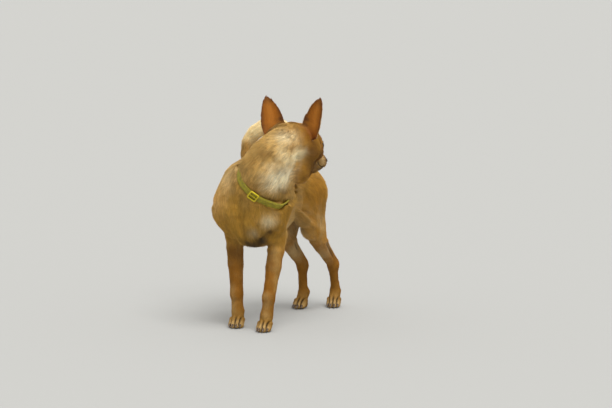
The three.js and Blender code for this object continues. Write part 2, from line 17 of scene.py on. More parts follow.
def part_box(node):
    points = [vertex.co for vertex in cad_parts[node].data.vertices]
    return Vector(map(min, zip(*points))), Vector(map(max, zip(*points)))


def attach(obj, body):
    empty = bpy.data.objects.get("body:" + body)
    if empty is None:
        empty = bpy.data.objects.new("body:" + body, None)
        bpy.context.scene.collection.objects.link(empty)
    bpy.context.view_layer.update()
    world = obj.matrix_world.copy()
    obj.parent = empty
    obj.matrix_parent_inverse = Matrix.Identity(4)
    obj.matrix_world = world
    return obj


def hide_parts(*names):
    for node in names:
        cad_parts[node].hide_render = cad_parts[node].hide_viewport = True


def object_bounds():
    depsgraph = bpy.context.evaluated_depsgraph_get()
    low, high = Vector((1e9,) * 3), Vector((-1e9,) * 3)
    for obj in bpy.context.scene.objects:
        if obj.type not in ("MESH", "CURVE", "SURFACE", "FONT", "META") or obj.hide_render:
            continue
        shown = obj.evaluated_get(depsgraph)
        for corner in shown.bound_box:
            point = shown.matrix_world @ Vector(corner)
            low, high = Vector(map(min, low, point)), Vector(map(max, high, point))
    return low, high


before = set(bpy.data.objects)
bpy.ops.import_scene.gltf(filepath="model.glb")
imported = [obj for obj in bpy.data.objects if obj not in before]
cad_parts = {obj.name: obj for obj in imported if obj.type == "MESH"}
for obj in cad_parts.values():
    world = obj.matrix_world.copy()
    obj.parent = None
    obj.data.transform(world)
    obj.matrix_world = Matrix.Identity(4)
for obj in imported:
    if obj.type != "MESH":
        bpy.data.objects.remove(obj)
cad_low, cad_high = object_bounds()

# ---------------------------------------------------------------- sizes

MM = 0.001
SIDES = {"left": 1, "right": -1}
VOXEL = 1.75 * MM  # the skin's first mesh, fine enough for ears and toes
PLAIN_SHARE = 0.36  # how much of that mesh the plain parts keep
CLOSE_CUTS = 0.3 * MM  # how much each solid grows so that the cuts between them close

EYE_AT = (44.4, 25.2, 7.2)  # mm from the middle of the head: forward, to its side, up
NOSE_AT = (108.0, 0.0, -13.8)
EYE_RADIUS = 9.84 * MM
LID_THICKNESS = 0.9 * MM
EYE_OPENING = (8.4, 5.1)  # mm, half its length and half its height

STRAP_THICKNESS = 2.2 * MM

# For each part: the coat's length, its depth over the skin, a tuft's width, all in mm, and how
# many tufts grow on a square millimetre.
COAT = {
    "head": (5.0, 0.9, 0.7, 1.5),
    "ear": (3.6, 0.5, 0.55, 1.8),
    "neck": (15.0, 3.2, 1.15, 0.85),
    "trunk": (9.5, 2.0, 1.0, 0.72),
    "tail": (13.0, 3.0, 1.1, 1.0),
    "upper_arm": (8.0, 1.6, 0.9, 0.85),
    "foreleg": (5.2, 0.9, 0.7, 1.1),
    "forepaw": (3.4, 0.6, 0.6, 1.6),
    "thigh": (9.0, 1.8, 0.95, 0.8),
    "hind_leg": (5.2, 0.9, 0.7, 1.1),
    "hind_paw": (3.4, 0.6, 0.6, 1.6),
}
PARTS = list(COAT)
# How many rounds of smoothing each part's facets need.
ROUNDS = {
    "head": 24,
    "ear": 12,
    "neck": 240,
    "trunk": 260,
    "tail": 160,
    "upper_arm": 300,
    "foreleg": 360,
    "forepaw": 8,
    "thigh": 360,
    "hind_leg": 360,
    "hind_paw": 8,
}
BENT_PARTS = ("neck", "tail")  # their tufts are long enough to bend
MOST_TRIANGLES = 198000  # in one piece of the coat
TUFT_THICKNESS = 0.4  # of its width
ROOT_SHADE = 0.74  # a tuft is darker at its root, where less light reaches it
TIP_SHADE = 1.14
SKIN_SHADE = 0.8  # and the skin under the coat is darker than it
SKIN_LIGHT = 1.3  # how far a tuft's upper faces are lit as the skin under it is
UNWRAP_FACES = 9000  # of the simpler shape that the map is unwrapped from
OPEN_ROOM = 20 * MM  # a place with this much room above it isn't in a fold
FOLD_ROOM = 14 * MM
WHISKER_WIDTH = 0.42 * MM
CLAW_ROOT, CLAW_TIP = 2.3 * MM, 1.1 * MM  # its radius at each end
NOSE_HALF = (8.6, 11.0, 8.0)  # mm: forward, to the side, up


# ---------------------------------------------------------------- places

def middle(node):
    low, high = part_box(node)
    return (low + high) / 2


def inside(node, x, y, z):
    """The place at those shares of a node's box."""
    low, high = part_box(node)
    return Vector([low[i] + share * (high[i] - low[i]) for i, share in enumerate((x, y, z))])


def through(node, *shares):
    """A path through places that are given as shares of a node's box."""
    return [inside(node, *share) for share in shares]


# The head's own directions, from the places of its eyes and nose.
eye_middle = {side: middle(f"eye_{side}") for side in SIDES}
HEAD_LEFT = (eye_middle["left"] - eye_middle["right"]).normalized()
between_eyes = (eye_middle["left"] + eye_middle["right"]) / 2
down_muzzle = (middle("nose") - between_eyes).normalized()
dip = math.atan2(EYE_AT[2] - NOSE_AT[2], NOSE_AT[0] - EYE_AT[0])
over_muzzle = down_muzzle.cross(HEAD_LEFT)
HEAD_FORWARD = down_muzzle * math.cos(dip) + over_muzzle * math.sin(dip)
HEAD_UP = over_muzzle * math.cos(dip) - down_muzzle * math.sin(dip)
HEAD_MIDDLE = between_eyes - (HEAD_FORWARD * EYE_AT[0] + HEAD_UP * EYE_AT[2]) * MM


def on_head(forward, side, up):
    """A place on the head, in mm from its middle."""
    return HEAD_MIDDLE + (HEAD_FORWARD * forward + HEAD_LEFT * side + HEAD_UP * up) * MM


def over_head(*spots):
    """A path through places on the head."""
    return [on_head(*spot) for spot in spots]


def part_of(node):
    """The part that a node of flesh belongs to: its name without its side."""
    return node.replace("_left", "").replace("_right", "")


FLESH = [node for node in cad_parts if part_of(node) in COAT]


# ---------------------------------------------------------------- small helpers

def steps(low, high, value):
    """Rises smoothly from 0 at low to 1 at high."""
    share = np.clip((value - low) / (high - low), 0, 1)
    return share * share * (3 - 2 * share)


def unit(vectors):
    return vectors / np.maximum(np.linalg.norm(vectors, axis=-1, keepdims=True), 1e-12)


# Random patterns are drawn on a slanted grid, so that they don't line up with the upright legs.
SLANT = np.array(Euler((0.6, 0.5, 0.9)).to_matrix())


def drift(places, size, seed):
    """Smooth random values from -1 to 1 that change over `size` metres."""
    grid = places @ SLANT / size + 500
    cell = np.floor(grid).astype(np.int64)
    share = grid - cell
    share = share * share * (3 - 2 * share)
    total = np.zeros(len(places))
    for corner in product((0, 1), repeat=3):
        x, y, z = (cell + corner).T
        mixed = (x * 73856093) ^ (y * 19349663) ^ (z * 83492791) ^ (seed * 40503)
        mixed = ((mixed ^ (mixed >> 13)) * 1274126177) & 0xFFFFFFFF
        value = ((mixed ^ (mixed >> 16)) & 0xFFFF) / 32767.5 - 1
        total += value * np.prod(np.where(corner, share, 1 - share), axis=1)
    return total


def streaks(places, ways, width, seed):
    """Random values of about -1 to 1 that are drawn out along the hair."""
    total = np.zeros(len(places))
    for step in (-2, -1, 0, 1, 2):
        total += drift(places + ways * (step * 1.7 * width), width, seed)
    return total / 2.4


def linear(hex_colour):
    """An sRGB hex colour as its linear red, green and blue."""
    shares = [int(hex_colour[i : i + 2], 16) / 255 for i in (1, 3, 5)]
    return [s / 12.92 if s <= 0.04045 else ((s + 0.055) / 1.055) ** 2.4 for s in shares]


def placed(name, data):
    """A new object in the scene."""
    thing = bpy.data.objects.new(name, data)
    bpy.context.scene.collection.objects.link(thing)
    return thing


def evaluated(piece):
    """The mesh that an object's modifiers make."""
    return bpy.data.meshes.new_from_object(piece.evaluated_get(bpy.context.evaluated_depsgraph_get()))


def shown(name, mesh, material):
    """A finished piece of the dog, which rides on its one body."""
    piece = placed(name, mesh)
    mesh.materials.clear()
    mesh.materials.append(material)
    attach(piece, "root")
    return piece


def mesh_from(name, shape):
    """A bmesh as a smooth-shaded mesh."""
    mesh = bpy.data.meshes.new(name)
    shape.to_mesh(mesh)
    shape.free()
    mesh.shade_smooth()
    return mesh


def vectors_of(mesh, fact):
    """One row for each vertex: its place ("co") or its direction ("normal")."""
    rows = np.zeros(len(mesh.vertices) * 3)
    mesh.vertices.foreach_get(fact, rows)
    return rows.reshape(-1, 3)


def points_of(mesh):
    return vectors_of(mesh, "co")


def normals_of(mesh):
    return vectors_of(mesh, "normal")


def corners_of(node):
    """The corners of a solid."""
    return points_of(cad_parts[node].data)


def move_vertices(mesh, places):
    mesh.vertices.foreach_set("co", places.ravel())
    mesh.update()


def search_tree(mesh):
    """Finds the place on a mesh that is nearest to a spot, or that a ray meets."""
    faces = [face.vertices[:] for face in mesh.polygons]
    return BVHTree.FromPolygons([vert.co for vert in mesh.vertices], faces)


def paint(mesh, name, colours):
    """Stores a colour for each vertex."""
    layer = mesh.attributes.new(name, "FLOAT_COLOR", "POINT")
    with_alpha = np.ones((len(colours), 4), np.float32)
    with_alpha[:, :3] = colours
    layer.data.foreach_set("color", with_alpha.ravel())


# ---------------------------------------------------------------- materials

def add(tree, kind, inputs=(), **settings):
    """A shader node with its settings, and its inputs set to values or linked from sockets."""
    node = tree.nodes.new("ShaderNode" + kind)
    for name, value in settings.items():
        setattr(node, name, value)
    for name, value in dict(inputs).items():
        if isinstance(value, bpy.types.NodeSocket):
            tree.links.new(value, node.inputs[name])
        else:
            node.inputs[name].default_value = value
    return node


def new_material(name):
    """An empty material and its node tree."""
    material = bpy.data.materials.new(name)
    material.use_nodes = True
    material.node_tree.nodes.clear()
    return material, material.node_tree


def finished(tree, inputs):
    """Ends a material in one Principled shader with those inputs."""
    shader = add(tree, "BsdfPrincipled", inputs)
    add(tree, "OutputMaterial", {"Surface": shader.outputs["BSDF"]})


def ramp(tree, value, stops):
    """A colour for each stop of a value, blended between them."""
    node = add(tree, "ValToRGB", {"Fac": value})
    elements = node.color_ramp.elements
    while len(elements) < len(stops):
        elements.new(0.5)
    for element, (place, colour) in zip(elements, stops):
        element.position = place
        element.color = [*linear(colour), 1]
    return node.outputs["Color"]


def dog_fur():
    """Short dog fur: keratin hairs in fine locks, dry and slightly glossy along their length."""
    material, tree = new_material("dog_fur")
    colour = add(tree, "Attribute", attribute_name="coat").outputs["Color"]
    place = add(tree, "TexCoord").outputs["Object"]
    # Single hairs are 0.06 mm wide; this grain is drawn at 1.2 mm so that it shows.
    hairs = add(tree, "TexNoise", {"Vector": place, "Scale": 1 / (1.2 * MM), "Detail": 2.0})
    shade = add(tree, "MapRange", {"Value": hairs.outputs["Fac"], "To Min": 0.8, "To Max": 1.18})
    grained = add(
        tree,
        "Mix",
        {6: colour, 7: shade.outputs["Result"], "Factor": 1.0},
        data_type="RGBA",
        blend_type="MULTIPLY",
    )
    finished(
        tree,
        {
            "Base Color": grained.outputs[2],
            "Roughness": 0.62,
            "IOR": 1.55,
            "Specular IOR Level": 0.18,
            "Sheen Weight": 0.04,
            "Sheen Roughness": 0.4,
        },
    )
    return material


def dog_skin():
    """Bare and thinly furred skin under the coat: soft, dull, with the coat's markings and its painted
    shade.
    """
    material, tree = new_material("dog_skin")
    colour = add(tree, "Attribute", attribute_name="coat").outputs["Color"]
    place = add(tree, "TexCoord").outputs["Object"]
    grain = add(tree, "TexNoise", {"Vector": place, "Scale": 1 / (1.6 * MM), "Detail": 3.0})
    bump = add(tree, "Bump", {"Height": grain.outputs["Fac"], "Strength": 0.5, "Distance": 0.5 * MM})
    finished(
        tree,
        {
            "Base Color": colour,
            "Roughness": 0.7,
            "IOR": 1.45,
            "Specular IOR Level": 0.25,
            "Normal": bump.outputs["Normal"],
        },
    )
    return material


def wet_eye():
    """A dark brown eye under its clear, wet cornea: almost black, with one sharp highlight."""
    material, tree = new_material("wet_eye")
    turn = add(tree, "Attribute", attribute_name="from_pupil").outputs["Fac"]
    colour = ramp(
        tree,
        turn,
        [
            (0.0, "#030202"),
            (0.085, "#040202"),
            (0.097, "#3a1d0a"),
            (0.16, "#5a300f"),
            (0.225, "#3c1e0b"),
            (0.25, "#0d0705"),
            (0.275, "#2a1c14"),
            (0.33, "#6a564a"),
        ],
    )
    finished(
        tree,
        {
            "Base Color": colour,
            "Roughness": 0.3,
            "IOR": 1.38,
            "Specular IOR Level": 0.2,
            "Coat Weight": 0.6,
            "Coat Roughness": 0.03,
            "Coat IOR": 1.38,
        },
    )
    return material


def nose_leather():
    """The bare black skin of the nose: moist, and pebbled in cells under a millimetre wide."""
    material, tree = new_material("nose_leather")
    place = add(tree, "TexCoord").outputs["Object"]
    cells = add(tree, "TexVoronoi", {"Vector": place, "Scale": 1 / (0.9 * MM)})
    bump = add(tree, "Bump", {"Height": cells.outputs["Distance"], "Strength": 0.6, "Distance": 0.3 * MM})
    tone = ramp(tree, cells.outputs["Distance"], [(0.0, "#2a2523"), (0.7, "#110e0d")])
    finished(
        tree,
        {
            "Base Color": tone,
            "Roughness": 0.36,
            "IOR": 1.45,
            "Coat Weight": 0.25,
            "Coat Roughness": 0.2,
            "Normal": bump.outputs["Normal"],
        },
    )
    return material


def claw_horn():
    """Dark horn, mottled with a paler grain."""
    material, tree = new_material("claw_horn")
    place = add(tree, "TexCoord").outputs["Object"]
    grain = add(tree, "TexNoise", {"Vector": place, "Scale": 1 / (1.5 * MM), "Detail": 4.0})
    colour = ramp(tree, grain.outputs["Fac"], [(0.3, "#2b1f17"), (0.75, "#6e5743")])
    finished(tree, {"Base Color": colour, "Roughness": 0.42, "IOR": 1.54})
    return material


def webbing():
    """Woven nylon webbing in neon yellow-green: a fine herringbone, dulled by wear."""
    material, tree = new_material("nylon_webbing")
    woven = add(tree, "UVMap", uv_map="along_strap").outputs["UV"]
    # The yarns lie 1.1 mm apart; the map is in millimetres along and across the strap.
    yarns = add(
        tree,
        "TexWave",
        {"Vector": woven, "Scale": 1 / 1.1, "Distortion": 0.6, "Detail": 1.0},
        wave_type="BANDS",
        bands_direction="DIAGONAL",
    )
    dirt = add(tree, "TexNoise", {"Vector": woven, "Scale": 0.12, "Detail": 4.0})
    clean = ramp(tree, yarns.outputs["Fac"], [(0.0, "#75700a"), (1.0, "#b9a80f")])
    worn = add(
        tree,
        "MapRange",
        {"Value": dirt.outputs["Fac"], "From Min": 0.35, "From Max": 0.7, "To Min": 0.0, "To Max": 0.6},
    )
    colour = add(
        tree,
        "Mix",
        {"Factor": worn.outputs["Result"], 6: clean, 7: [*linear("#5e500a"), 1]},
        data_type="RGBA",
    )
    bump = add(tree, "Bump", {"Height": yarns.outputs["Fac"], "Strength": 0.5, "Distance": 0.35 * MM})
    finished(
        tree,
        {
            "Base Color": colour.outputs[2],
            "Roughness": 0.6,
            "IOR": 1.53,
            "Normal": bump.outputs["Normal"],
        },
    )
    return material


def acetal():
    """Moulded yellow acetal: smooth, waxy, with a soft highlight and fine scuffs."""
    material, tree = new_material("moulded_acetal")
    place = add(tree, "TexCoord").outputs["Object"]
    scuffs = add(tree, "TexNoise", {"Vector": place, "Scale": 1 / (3 * MM), "Detail": 6.0})
    colour = ramp(tree, scuffs.outputs["Fac"], [(0.3, "#bda514"), (0.65, "#e0cc1e")])
    rough = add(tree, "MapRange", {"Value": scuffs.outputs["Fac"], "To Min": 0.25, "To Max": 0.5})
    finished(tree, {"Base Color": colour, "Roughness": rough.outputs["Result"], "IOR": 1.48})
    return material


def studio_floor():
    """A plain pale studio floor."""
    material, tree = new_material("studio_floor")
    finished(tree, {"Base Color": [*linear("#a6a6a3"), 1], "Roughness": 0.9, "IOR": 1.45})
    return material


# ---------------------------------------------------------------- the skin's first mesh

def grown_copy(shape, node, grow):
    """Adds a merged copy of a solid to a bmesh, grown by that much."""
    copy = bmesh.new()
    copy.from_mesh(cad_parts[node].data)
    bmesh.ops.remove_doubles(copy, verts=copy.verts, dist=0.01 * MM)
    copy.normal_update()
    moved = [vert.co + vert.normal * grow for vert in copy.verts]
    for vert, place in zip(copy.verts, moved):
        vert.co = place
    mesh = bpy.data.meshes.new("copy")
    copy.to_mesh(mesh)
    copy.free()
    shape.from_mesh(mesh)
    bpy.data.meshes.remove(mesh)


def remeshed_flesh():
    """All the flesh as one closed skin of even faces. The eyes are in it, so the lids swell."""
    shape = bmesh.new()
    for node in FLESH:
        grown_copy(shape, node, CLOSE_CUTS)
    for side in SIDES:
        grown_copy(shape, f"eye_{side}", LID_THICKNESS)
    grown_copy(shape, "nose", -0.3 * MM)
    # The fold of the flank runs from the belly to the knee: 22 mm wide and 11 mm thick, halved.
    for side, turn in SIDES.items():
        middle_share = 0.5 + 0.12 * turn
        belly, knee = through(f"thigh_{side}", (middle_share, -0.3, 0.58), (middle_share, 0.25, 0.25))
        fold = bmesh.ops.create_icosphere(shape, subdivisions=4, radius=1)["verts"]
        run = knee - belly
        aim = run.to_track_quat("Z", "X").to_matrix()
        for vert in fold:
            x, y, z = vert.co
            vert.co = (belly + knee) / 2 + aim @ Vector((x * 11, y * 22, z * run.length / MM * 0.7)) * MM
    rough = placed("rough", mesh_from("rough", shape))
    remesh = rough.modifiers.new("remesh", "REMESH")
    remesh.mode = "VOXEL"
    remesh.voxel_size = VOXEL
    even = evaluated(rough)
    bpy.data.objects.remove(rough)
    return even


def largest_piece(mesh):
    """The mesh without the small loose pieces that remeshing can leave."""
    shape = bmesh.new()
    shape.from_mesh(mesh)
    shape.verts.ensure_lookup_table()
    group = [-1] * len(shape.verts)
    sizes = []
    for start in shape.verts:
        if group[start.index] >= 0:
            continue
        group[start.index] = len(sizes)
        stack = [start]
        count = 0
        while stack:
            vert = stack.pop()
            count += 1
            for edge in vert.link_edges:
                other = edge.other_vert(vert)
                if group[other.index] < 0:
                    group[other.index] = len(sizes)
                    stack.append(other)
        sizes.append(count)
    keep = sizes.index(max(sizes))
    extra = [vert for vert in shape.verts if group[vert.index] != keep]
    bmesh.ops.delete(shape, geom=extra, context="VERTS")
    shape.to_mesh(mesh)
    shape.free()
    return mesh


def neighbours(mesh):
    """For each vertex, its neighbours in one list, and where each vertex's own share starts."""
    edges = np.zeros(len(mesh.edges) * 2, np.int64)
    mesh.edges.foreach_get("vertices", edges)
    first, second = edges.reshape(-1, 2).T
    owner = np.concatenate([first, second])
    other = np.concatenate([second, first])
    order = np.argsort(owner, kind="stable")
    counts = np.bincount(owner, minlength=len(mesh.vertices))
    starts = np.concatenate([[0], np.cumsum(counts)[:-1]])
    return other[order], starts, counts


def averaged(values, links):
    """Each vertex's value as the average of its neighbours' values."""
    other, starts, counts = links
    return np.add.reduceat(values[other], starts, axis=0) / counts[:, None]


def softened(values, links, rounds):
    for _ in range(rounds):
        values = (values + averaged(values, links)) / 2
    return values


def without_facets(places, links, rounds):
    """Smooths each vertex for its own number of rounds, with no shrinking."""
    for turn in range(int(rounds.max())):
        share = np.clip(rounds - turn, 0, 1)[:, None]
        for push in (0.5, -0.508):
            places = places + (averaged(places, links) - places) * share * push
    return places


def part_shares(places, links):
    """How much of each part there is at each place, from 0 to 1, blended where parts meet."""
    corners = []
    triangles = []
    owners = []
    for node in FLESH:
        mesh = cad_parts[node].data
        mesh.calc_loop_triangles()
        first = len(corners)
        corners += [vert.co.copy() for vert in mesh.vertices]
        triangles += [[first + i for i in tri.vertices] for tri in mesh.loop_triangles]
        owners += [PARTS.index(part_of(node))] * len(mesh.loop_triangles)
    tree = BVHTree.FromPolygons(corners, triangles)
    shares = np.zeros((len(places), len(PARTS)))
    for i, place in enumerate(places):
        shares[i, owners[tree.find_nearest(place)[2]]] = 1
    return softened(shares, links, 8)


def blend_of(shares, table):
    """A value for each vertex, from one value for each part."""
    return shares @ np.array([table[part] for part in PARTS])


def lightened(mesh, plain):
    """The mesh with fewer faces where it is plain; `plain` runs from 0 to 1."""
    heavy = placed("heavy", mesh)
    group = heavy.vertex_groups.new(name="plain")
    for i in np.flatnonzero(plain > 0.5):
        group.add([int(i)], 1.0, "REPLACE")
    fewer = heavy.modifiers.new("fewer", "DECIMATE")
    fewer.ratio = 1 - (1 - PLAIN_SHARE) * float((plain > 0.5).mean())
    fewer.vertex_group = "plain"
    fewer.vertex_group_factor = 1000
    lighter = evaluated(heavy)
    bpy.data.objects.remove(heavy)
    return lighter


def refine(mesh, wanted):
    """Splits the faces whose vertices are all wanted."""
    shape = bmesh.new()
    shape.from_mesh(mesh)
    edges = [e for e in shape.edges if all(wanted[vert.index] for vert in e.verts)]
    bmesh.ops.subdivide_edges(shape, edges=edges, cuts=1, use_grid_fill=True)
    bmesh.ops.triangulate(shape, faces=[face for face in shape.faces if len(face.verts) > 4])
    shape.to_mesh(mesh)
    shape.free()


# ---------------------------------------------------------------- sculpting

def near_path(places, path):
    """The distance from each place to a path of straight runs, and how far along it that is."""
    best = np.full(len(places), 1e9)
    along = np.zeros(len(places))
    for i, (start, end) in enumerate(zip(path, path[1:])):
        start, run = np.array(start), np.array(end - start)
        share = np.clip((places - start) @ run / (run @ run), 0, 1)
        distance = np.linalg.norm(places - start - share[:, None] * run, axis=1)
        along = np.where(distance < best, i + share, along)
        best = np.minimum(best, distance)
    return best, along / (len(path) - 1)


def in_head(places):
    """Places as mm from the middle of the head: forward, to its left, and up."""
    away = (places - np.array(HEAD_MIDDLE)) / MM
    return away @ np.array([HEAD_FORWARD, HEAD_LEFT, HEAD_UP]).T


class Eye:
    """The directions of one eye, and the shape of its opening."""

    def __init__(self, side):
        self.middle = np.array(eye_middle[side])
        turn = SIDES[side]
        look = HEAD_FORWARD * 0.66 + HEAD_LEFT * turn * 0.74 + HEAD_UP * 0.12
        self.look = np.array(look.normalized())
        back = HEAD_LEFT * turn * 0.66 - HEAD_FORWARD * 0.74 + HEAD_UP * 0.14
        back = np.array(back)
        back -= self.look * (back @ self.look)
        self.back = back / np.linalg.norm(back)
        across = np.cross(self.look, self.back)
        self.up = across if across @ np.array(HEAD_UP) > 0 else -across

    def opening(self, places):
        """Distance in mm outside the edge of the opening; negative inside it."""
        away = (places - self.middle) / MM
        along, up = away @ self.back, away @ self.up
        half_long, half_high = EYE_OPENING
        share = np.clip(1 - (along / half_long) ** 2, 0, 1)
        height = half_high * share**0.7
        past = np.maximum(np.abs(along) - half_long, 0)
        return np.where(past > 0, np.hypot(past, up), np.abs(up) - height)

    def rim(self, count):
        """Places round the edge of the opening, on the lids' surface."""
        half_long, half_high = EYE_OPENING
        edge = []
        for i in range(count):
            turn = 2 * math.pi * i / count
            along = half_long * math.cos(turn)
            up = half_high * math.copysign(abs(math.sin(turn)) ** 1.4, math.sin(turn))
            flat = (self.back * along + self.up * up) * MM
            reach = EYE_RADIUS + 0.35 * MM
            out = math.sqrt(max(reach**2 - flat @ flat, 0))
            edge.append(Vector(self.middle + flat + self.look * out))
        return edge


EYES = {side: Eye(side) for side in SIDES}


def shape_lids(places):
    """Lays the skin round each eye over the eyeball as lids, and sinks it behind their opening."""
    for eye in EYES.values():
        away = places - eye.middle
        reach = np.linalg.norm(away, axis=1)
        outside = eye.opening(places)
        front = (away @ eye.look > 0.15 * EYE_RADIUS) & (reach < 2.2 * EYE_RADIUS)
        lid = EYE_RADIUS + LID_THICKNESS
        target = np.where(
            outside < 0.6,
            EYE_RADIUS - 1.6 * MM + (LID_THICKNESS + 1.6 * MM) * steps(-0.4, 0.5, outside),
            lid,
        )
        hold = (1 - steps(1.4, 5.5, outside)) * front
        moved = eye.middle + unit(away) * target[:, None]
        places = places + (moved - places) * hold[:, None]
    return places


# The line of the closed lips, in mm on the head, from under the nose to the corner of the mouth.
LIPS = [
    (109, 0, -25),
    (106, 5, -27),
    (99, 9.5, -29.5),
    (86, 13, -31),
    (72, 16.5, -31),
    (60, 19, -28),
    (51, 21, -24),
]


def lip_line(turn):
    return [on_head(forward, side * turn, up) for forward, side, up in LIPS]


def laid(path, tree):
    """A path laid on the skin, in short runs."""
    spots = [start.lerp(end, i / 6) for start, end in zip(path, path[1:]) for i in range(6)]
    return [tree.find_nearest(spot)[0] for spot in [*spots, path[-1]]]


def groove(places, path, width):
    """How deep a soft groove along a path is at each place, from 0 to 1; shallower at its ends."""
    ends = np.array([list(spot) for spot in path])
    reach = 2.6 * width * MM
    close = np.flatnonzero(((places > ends.min(0) - reach) & (places < ends.max(0) + reach)).all(1))
    distance, along = near_path(places[close], path)
    fade = steps(0, 0.12, along) * steps(0, 0.2, 1 - along)
    share = np.zeros(len(places))
    share[close] = np.exp(-((distance / (width * MM)) ** 2)) * (0.35 + 0.65 * fade)
    return share


def claw_line(foot, number):
    """A claw's root and tip: the tip is its end nearest to the ground."""
    corners = corners_of(f"claw_{foot}_{number}")
    centre = corners.mean(0)
    axis = np.linalg.svd(corners - centre)[2][0]
    axis = axis if axis[2] < 0 else -axis
    reach = (corners - centre) @ axis
    return Vector(centre + axis * reach.min()), Vector(centre + axis * reach.max())


# Each foot, as the names of its claws have it, with its paw.
FEET = {f"fore_{side}": f"forepaw_{side}" for side in SIDES}
FEET |= {f"hind_{side}": f"hind_paw_{side}" for side in SIDES}
TOES = (1, 2, 3, 4)
UP = Vector((0, 0, 1))


def level_way(start, end):
    """The way from one place to another, seen from above."""
    return Vector((end.x - start.x, end.y - start.y, 0)).normalized()


def toe_grooves():
    """The clefts between the toes, from between two claws back over the knuckles."""
    grooves = []
    for foot in FEET:
        lines = [claw_line(foot, number) for number in TOES]
        for (root_a, tip_a), (root_b, tip_b) in zip(lines, lines[1:]):
            front = (root_a + root_b) / 2
            flat = level_way(root_a + root_b, tip_a + tip_b)
            reaches = ((2, -7), (1, 0), (-7, 7), (-17, 12))  # mm: ahead of the claws' roots, and up
            grooves.append([front + flat * ahead * MM + UP * rise * MM for ahead, rise in reaches])
    return grooves


def toe_backs():
    """The raised back of each toe, from its claw to its knuckle."""
    backs = []
    for foot in FEET:
        for number in TOES:
            root, tip = claw_line(foot, number)
            flat = level_way(root, tip)
            reaches = ((0, 2), (8, 7), (15, 9))  # mm: behind the claw's root, and up
            backs.append([root - flat * behind * MM + UP * rise * MM for behind, rise in reaches])
    return backs


def body_forms():
    """Hollows between the muscles: each path with its width and its depth in mm."""
    forms = [
        (through("trunk", (0.5, 0.0, 0.42), (0.5, 0.02, 0.2), (0.5, 0.12, 0.0)), 10, 8.0),
        (through("trunk", (0.5, 0.3, 0.0), (0.5, 0.6, 0.2)), 16, 1.5),
        (through("upper_arm_left", (0.5, 0.1, 0.42), (0.2, 0.12, 0.15)), 8, 6.0),
    ]
    for side, turn in SIDES.items():
        out = 0.5 + 0.5 * turn
        near = 0.5 + 0.22 * turn
        front = 0.5 + 0.34 * turn
        arm, thigh, foreleg = (f"{part}_{side}" for part in ("upper_arm", "thigh", "foreleg"))
        shoulder, loin = through("trunk", (out, 0.42, 0.72), (out, 0.62, 0.6))
        forms += [
            (through("trunk", (near, 0.0, 0.34), (near, 0.05, 0.1), (near, 0.12, 0.0)), 7, 5.0),
            (through("trunk", (front, 0.02, 0.42), (out, 0.12, 0.55), (out, 0.26, 0.85)), 13, 4.5),
            ([*through(arm, (out, 0.75, 0.0), (out, 0.95, 0.6)), shoulder], 12, 4.5),
            (through("trunk", (out, 0.4, 0.2), (out, 0.6, 0.35)), 14, 1.6),
            ([*through(thigh, (out, 0.02, 0.3), (out, 0.0, 0.75)), loin], 12, 5.0),
            (through(thigh, (out, 0.62, 0.85), (out, 0.6, 0.3)), 9, 2.8),
            (through(foreleg, (out, 0.72, 0.9), (out, 0.75, 0.35)), 4.5, 1.8),
        ]
    return forms


def hock_hollows():
    """The hollows in front of each heel's tendon, on both faces of the hind legs."""
    hollows = []
    for side in SIDES:
        line = centre_line(f"hind_leg_{side}", [0.152, 0.13, 0.108])
        hollows += [[spot + Vector((30 * MM * face, 4 * MM, 0)) for spot in line] for face in (-1, 1)]
    return hollows


def sculpted(mesh):
    """The fine forms of the body, the face and the feet, and how far each place is in a crease."""
    places, normals = points_of(mesh), normals_of(mesh)
    tree = search_tree(mesh)

    def pressed(paths, width, depth):
        share = np.max([groove(places, laid(path, tree), width) for path in paths], axis=0)
        return share, -normals * (share * depth * MM)[:, None]

    moves = np.zeros_like(places)
    for path, width, depth in body_forms():
        moves += pressed([path], width, depth)[1]
    lips, lip_moves = pressed([lip_line(turn) for turn in SIDES.values()], 1.1, 1.6)
    clefts, cleft_moves = pressed(toe_grooves(), 1.9, 4.2)
    hollows, hollow_moves = pressed(hock_hollows(), 4.2, 4.2)
    backs = pressed(toe_backs(), 3.0, -1.0)[1]
    philtrum = pressed([[on_head(113, 0, -17), on_head(110, 0, -27)]], 0.8, 1.2)[1]
    places = places + moves + hollow_moves + lip_moves + cleft_moves
    places = places + backs * (1 - clefts)[:, None] + philtrum
    behind = (1 - steps(0.98, 1.12, nose_reach(places)))[:, None]
    places = places + (np.array(on_head(*NOSE_AT) - HEAD_FORWARD * 3 * MM) - places) * 0.5 * behind
    return shape_lids(places), {"lips": lips, "clefts": clefts, "hollows": hollows}


def nose_reach(places):
    """How far out each place is from the middle of the nose, where 1 is the pad's surface."""
    return np.linalg.norm((in_head(places) - np.array(NOSE_AT)) / (9.4, 11.4, 8.6), axis=1)


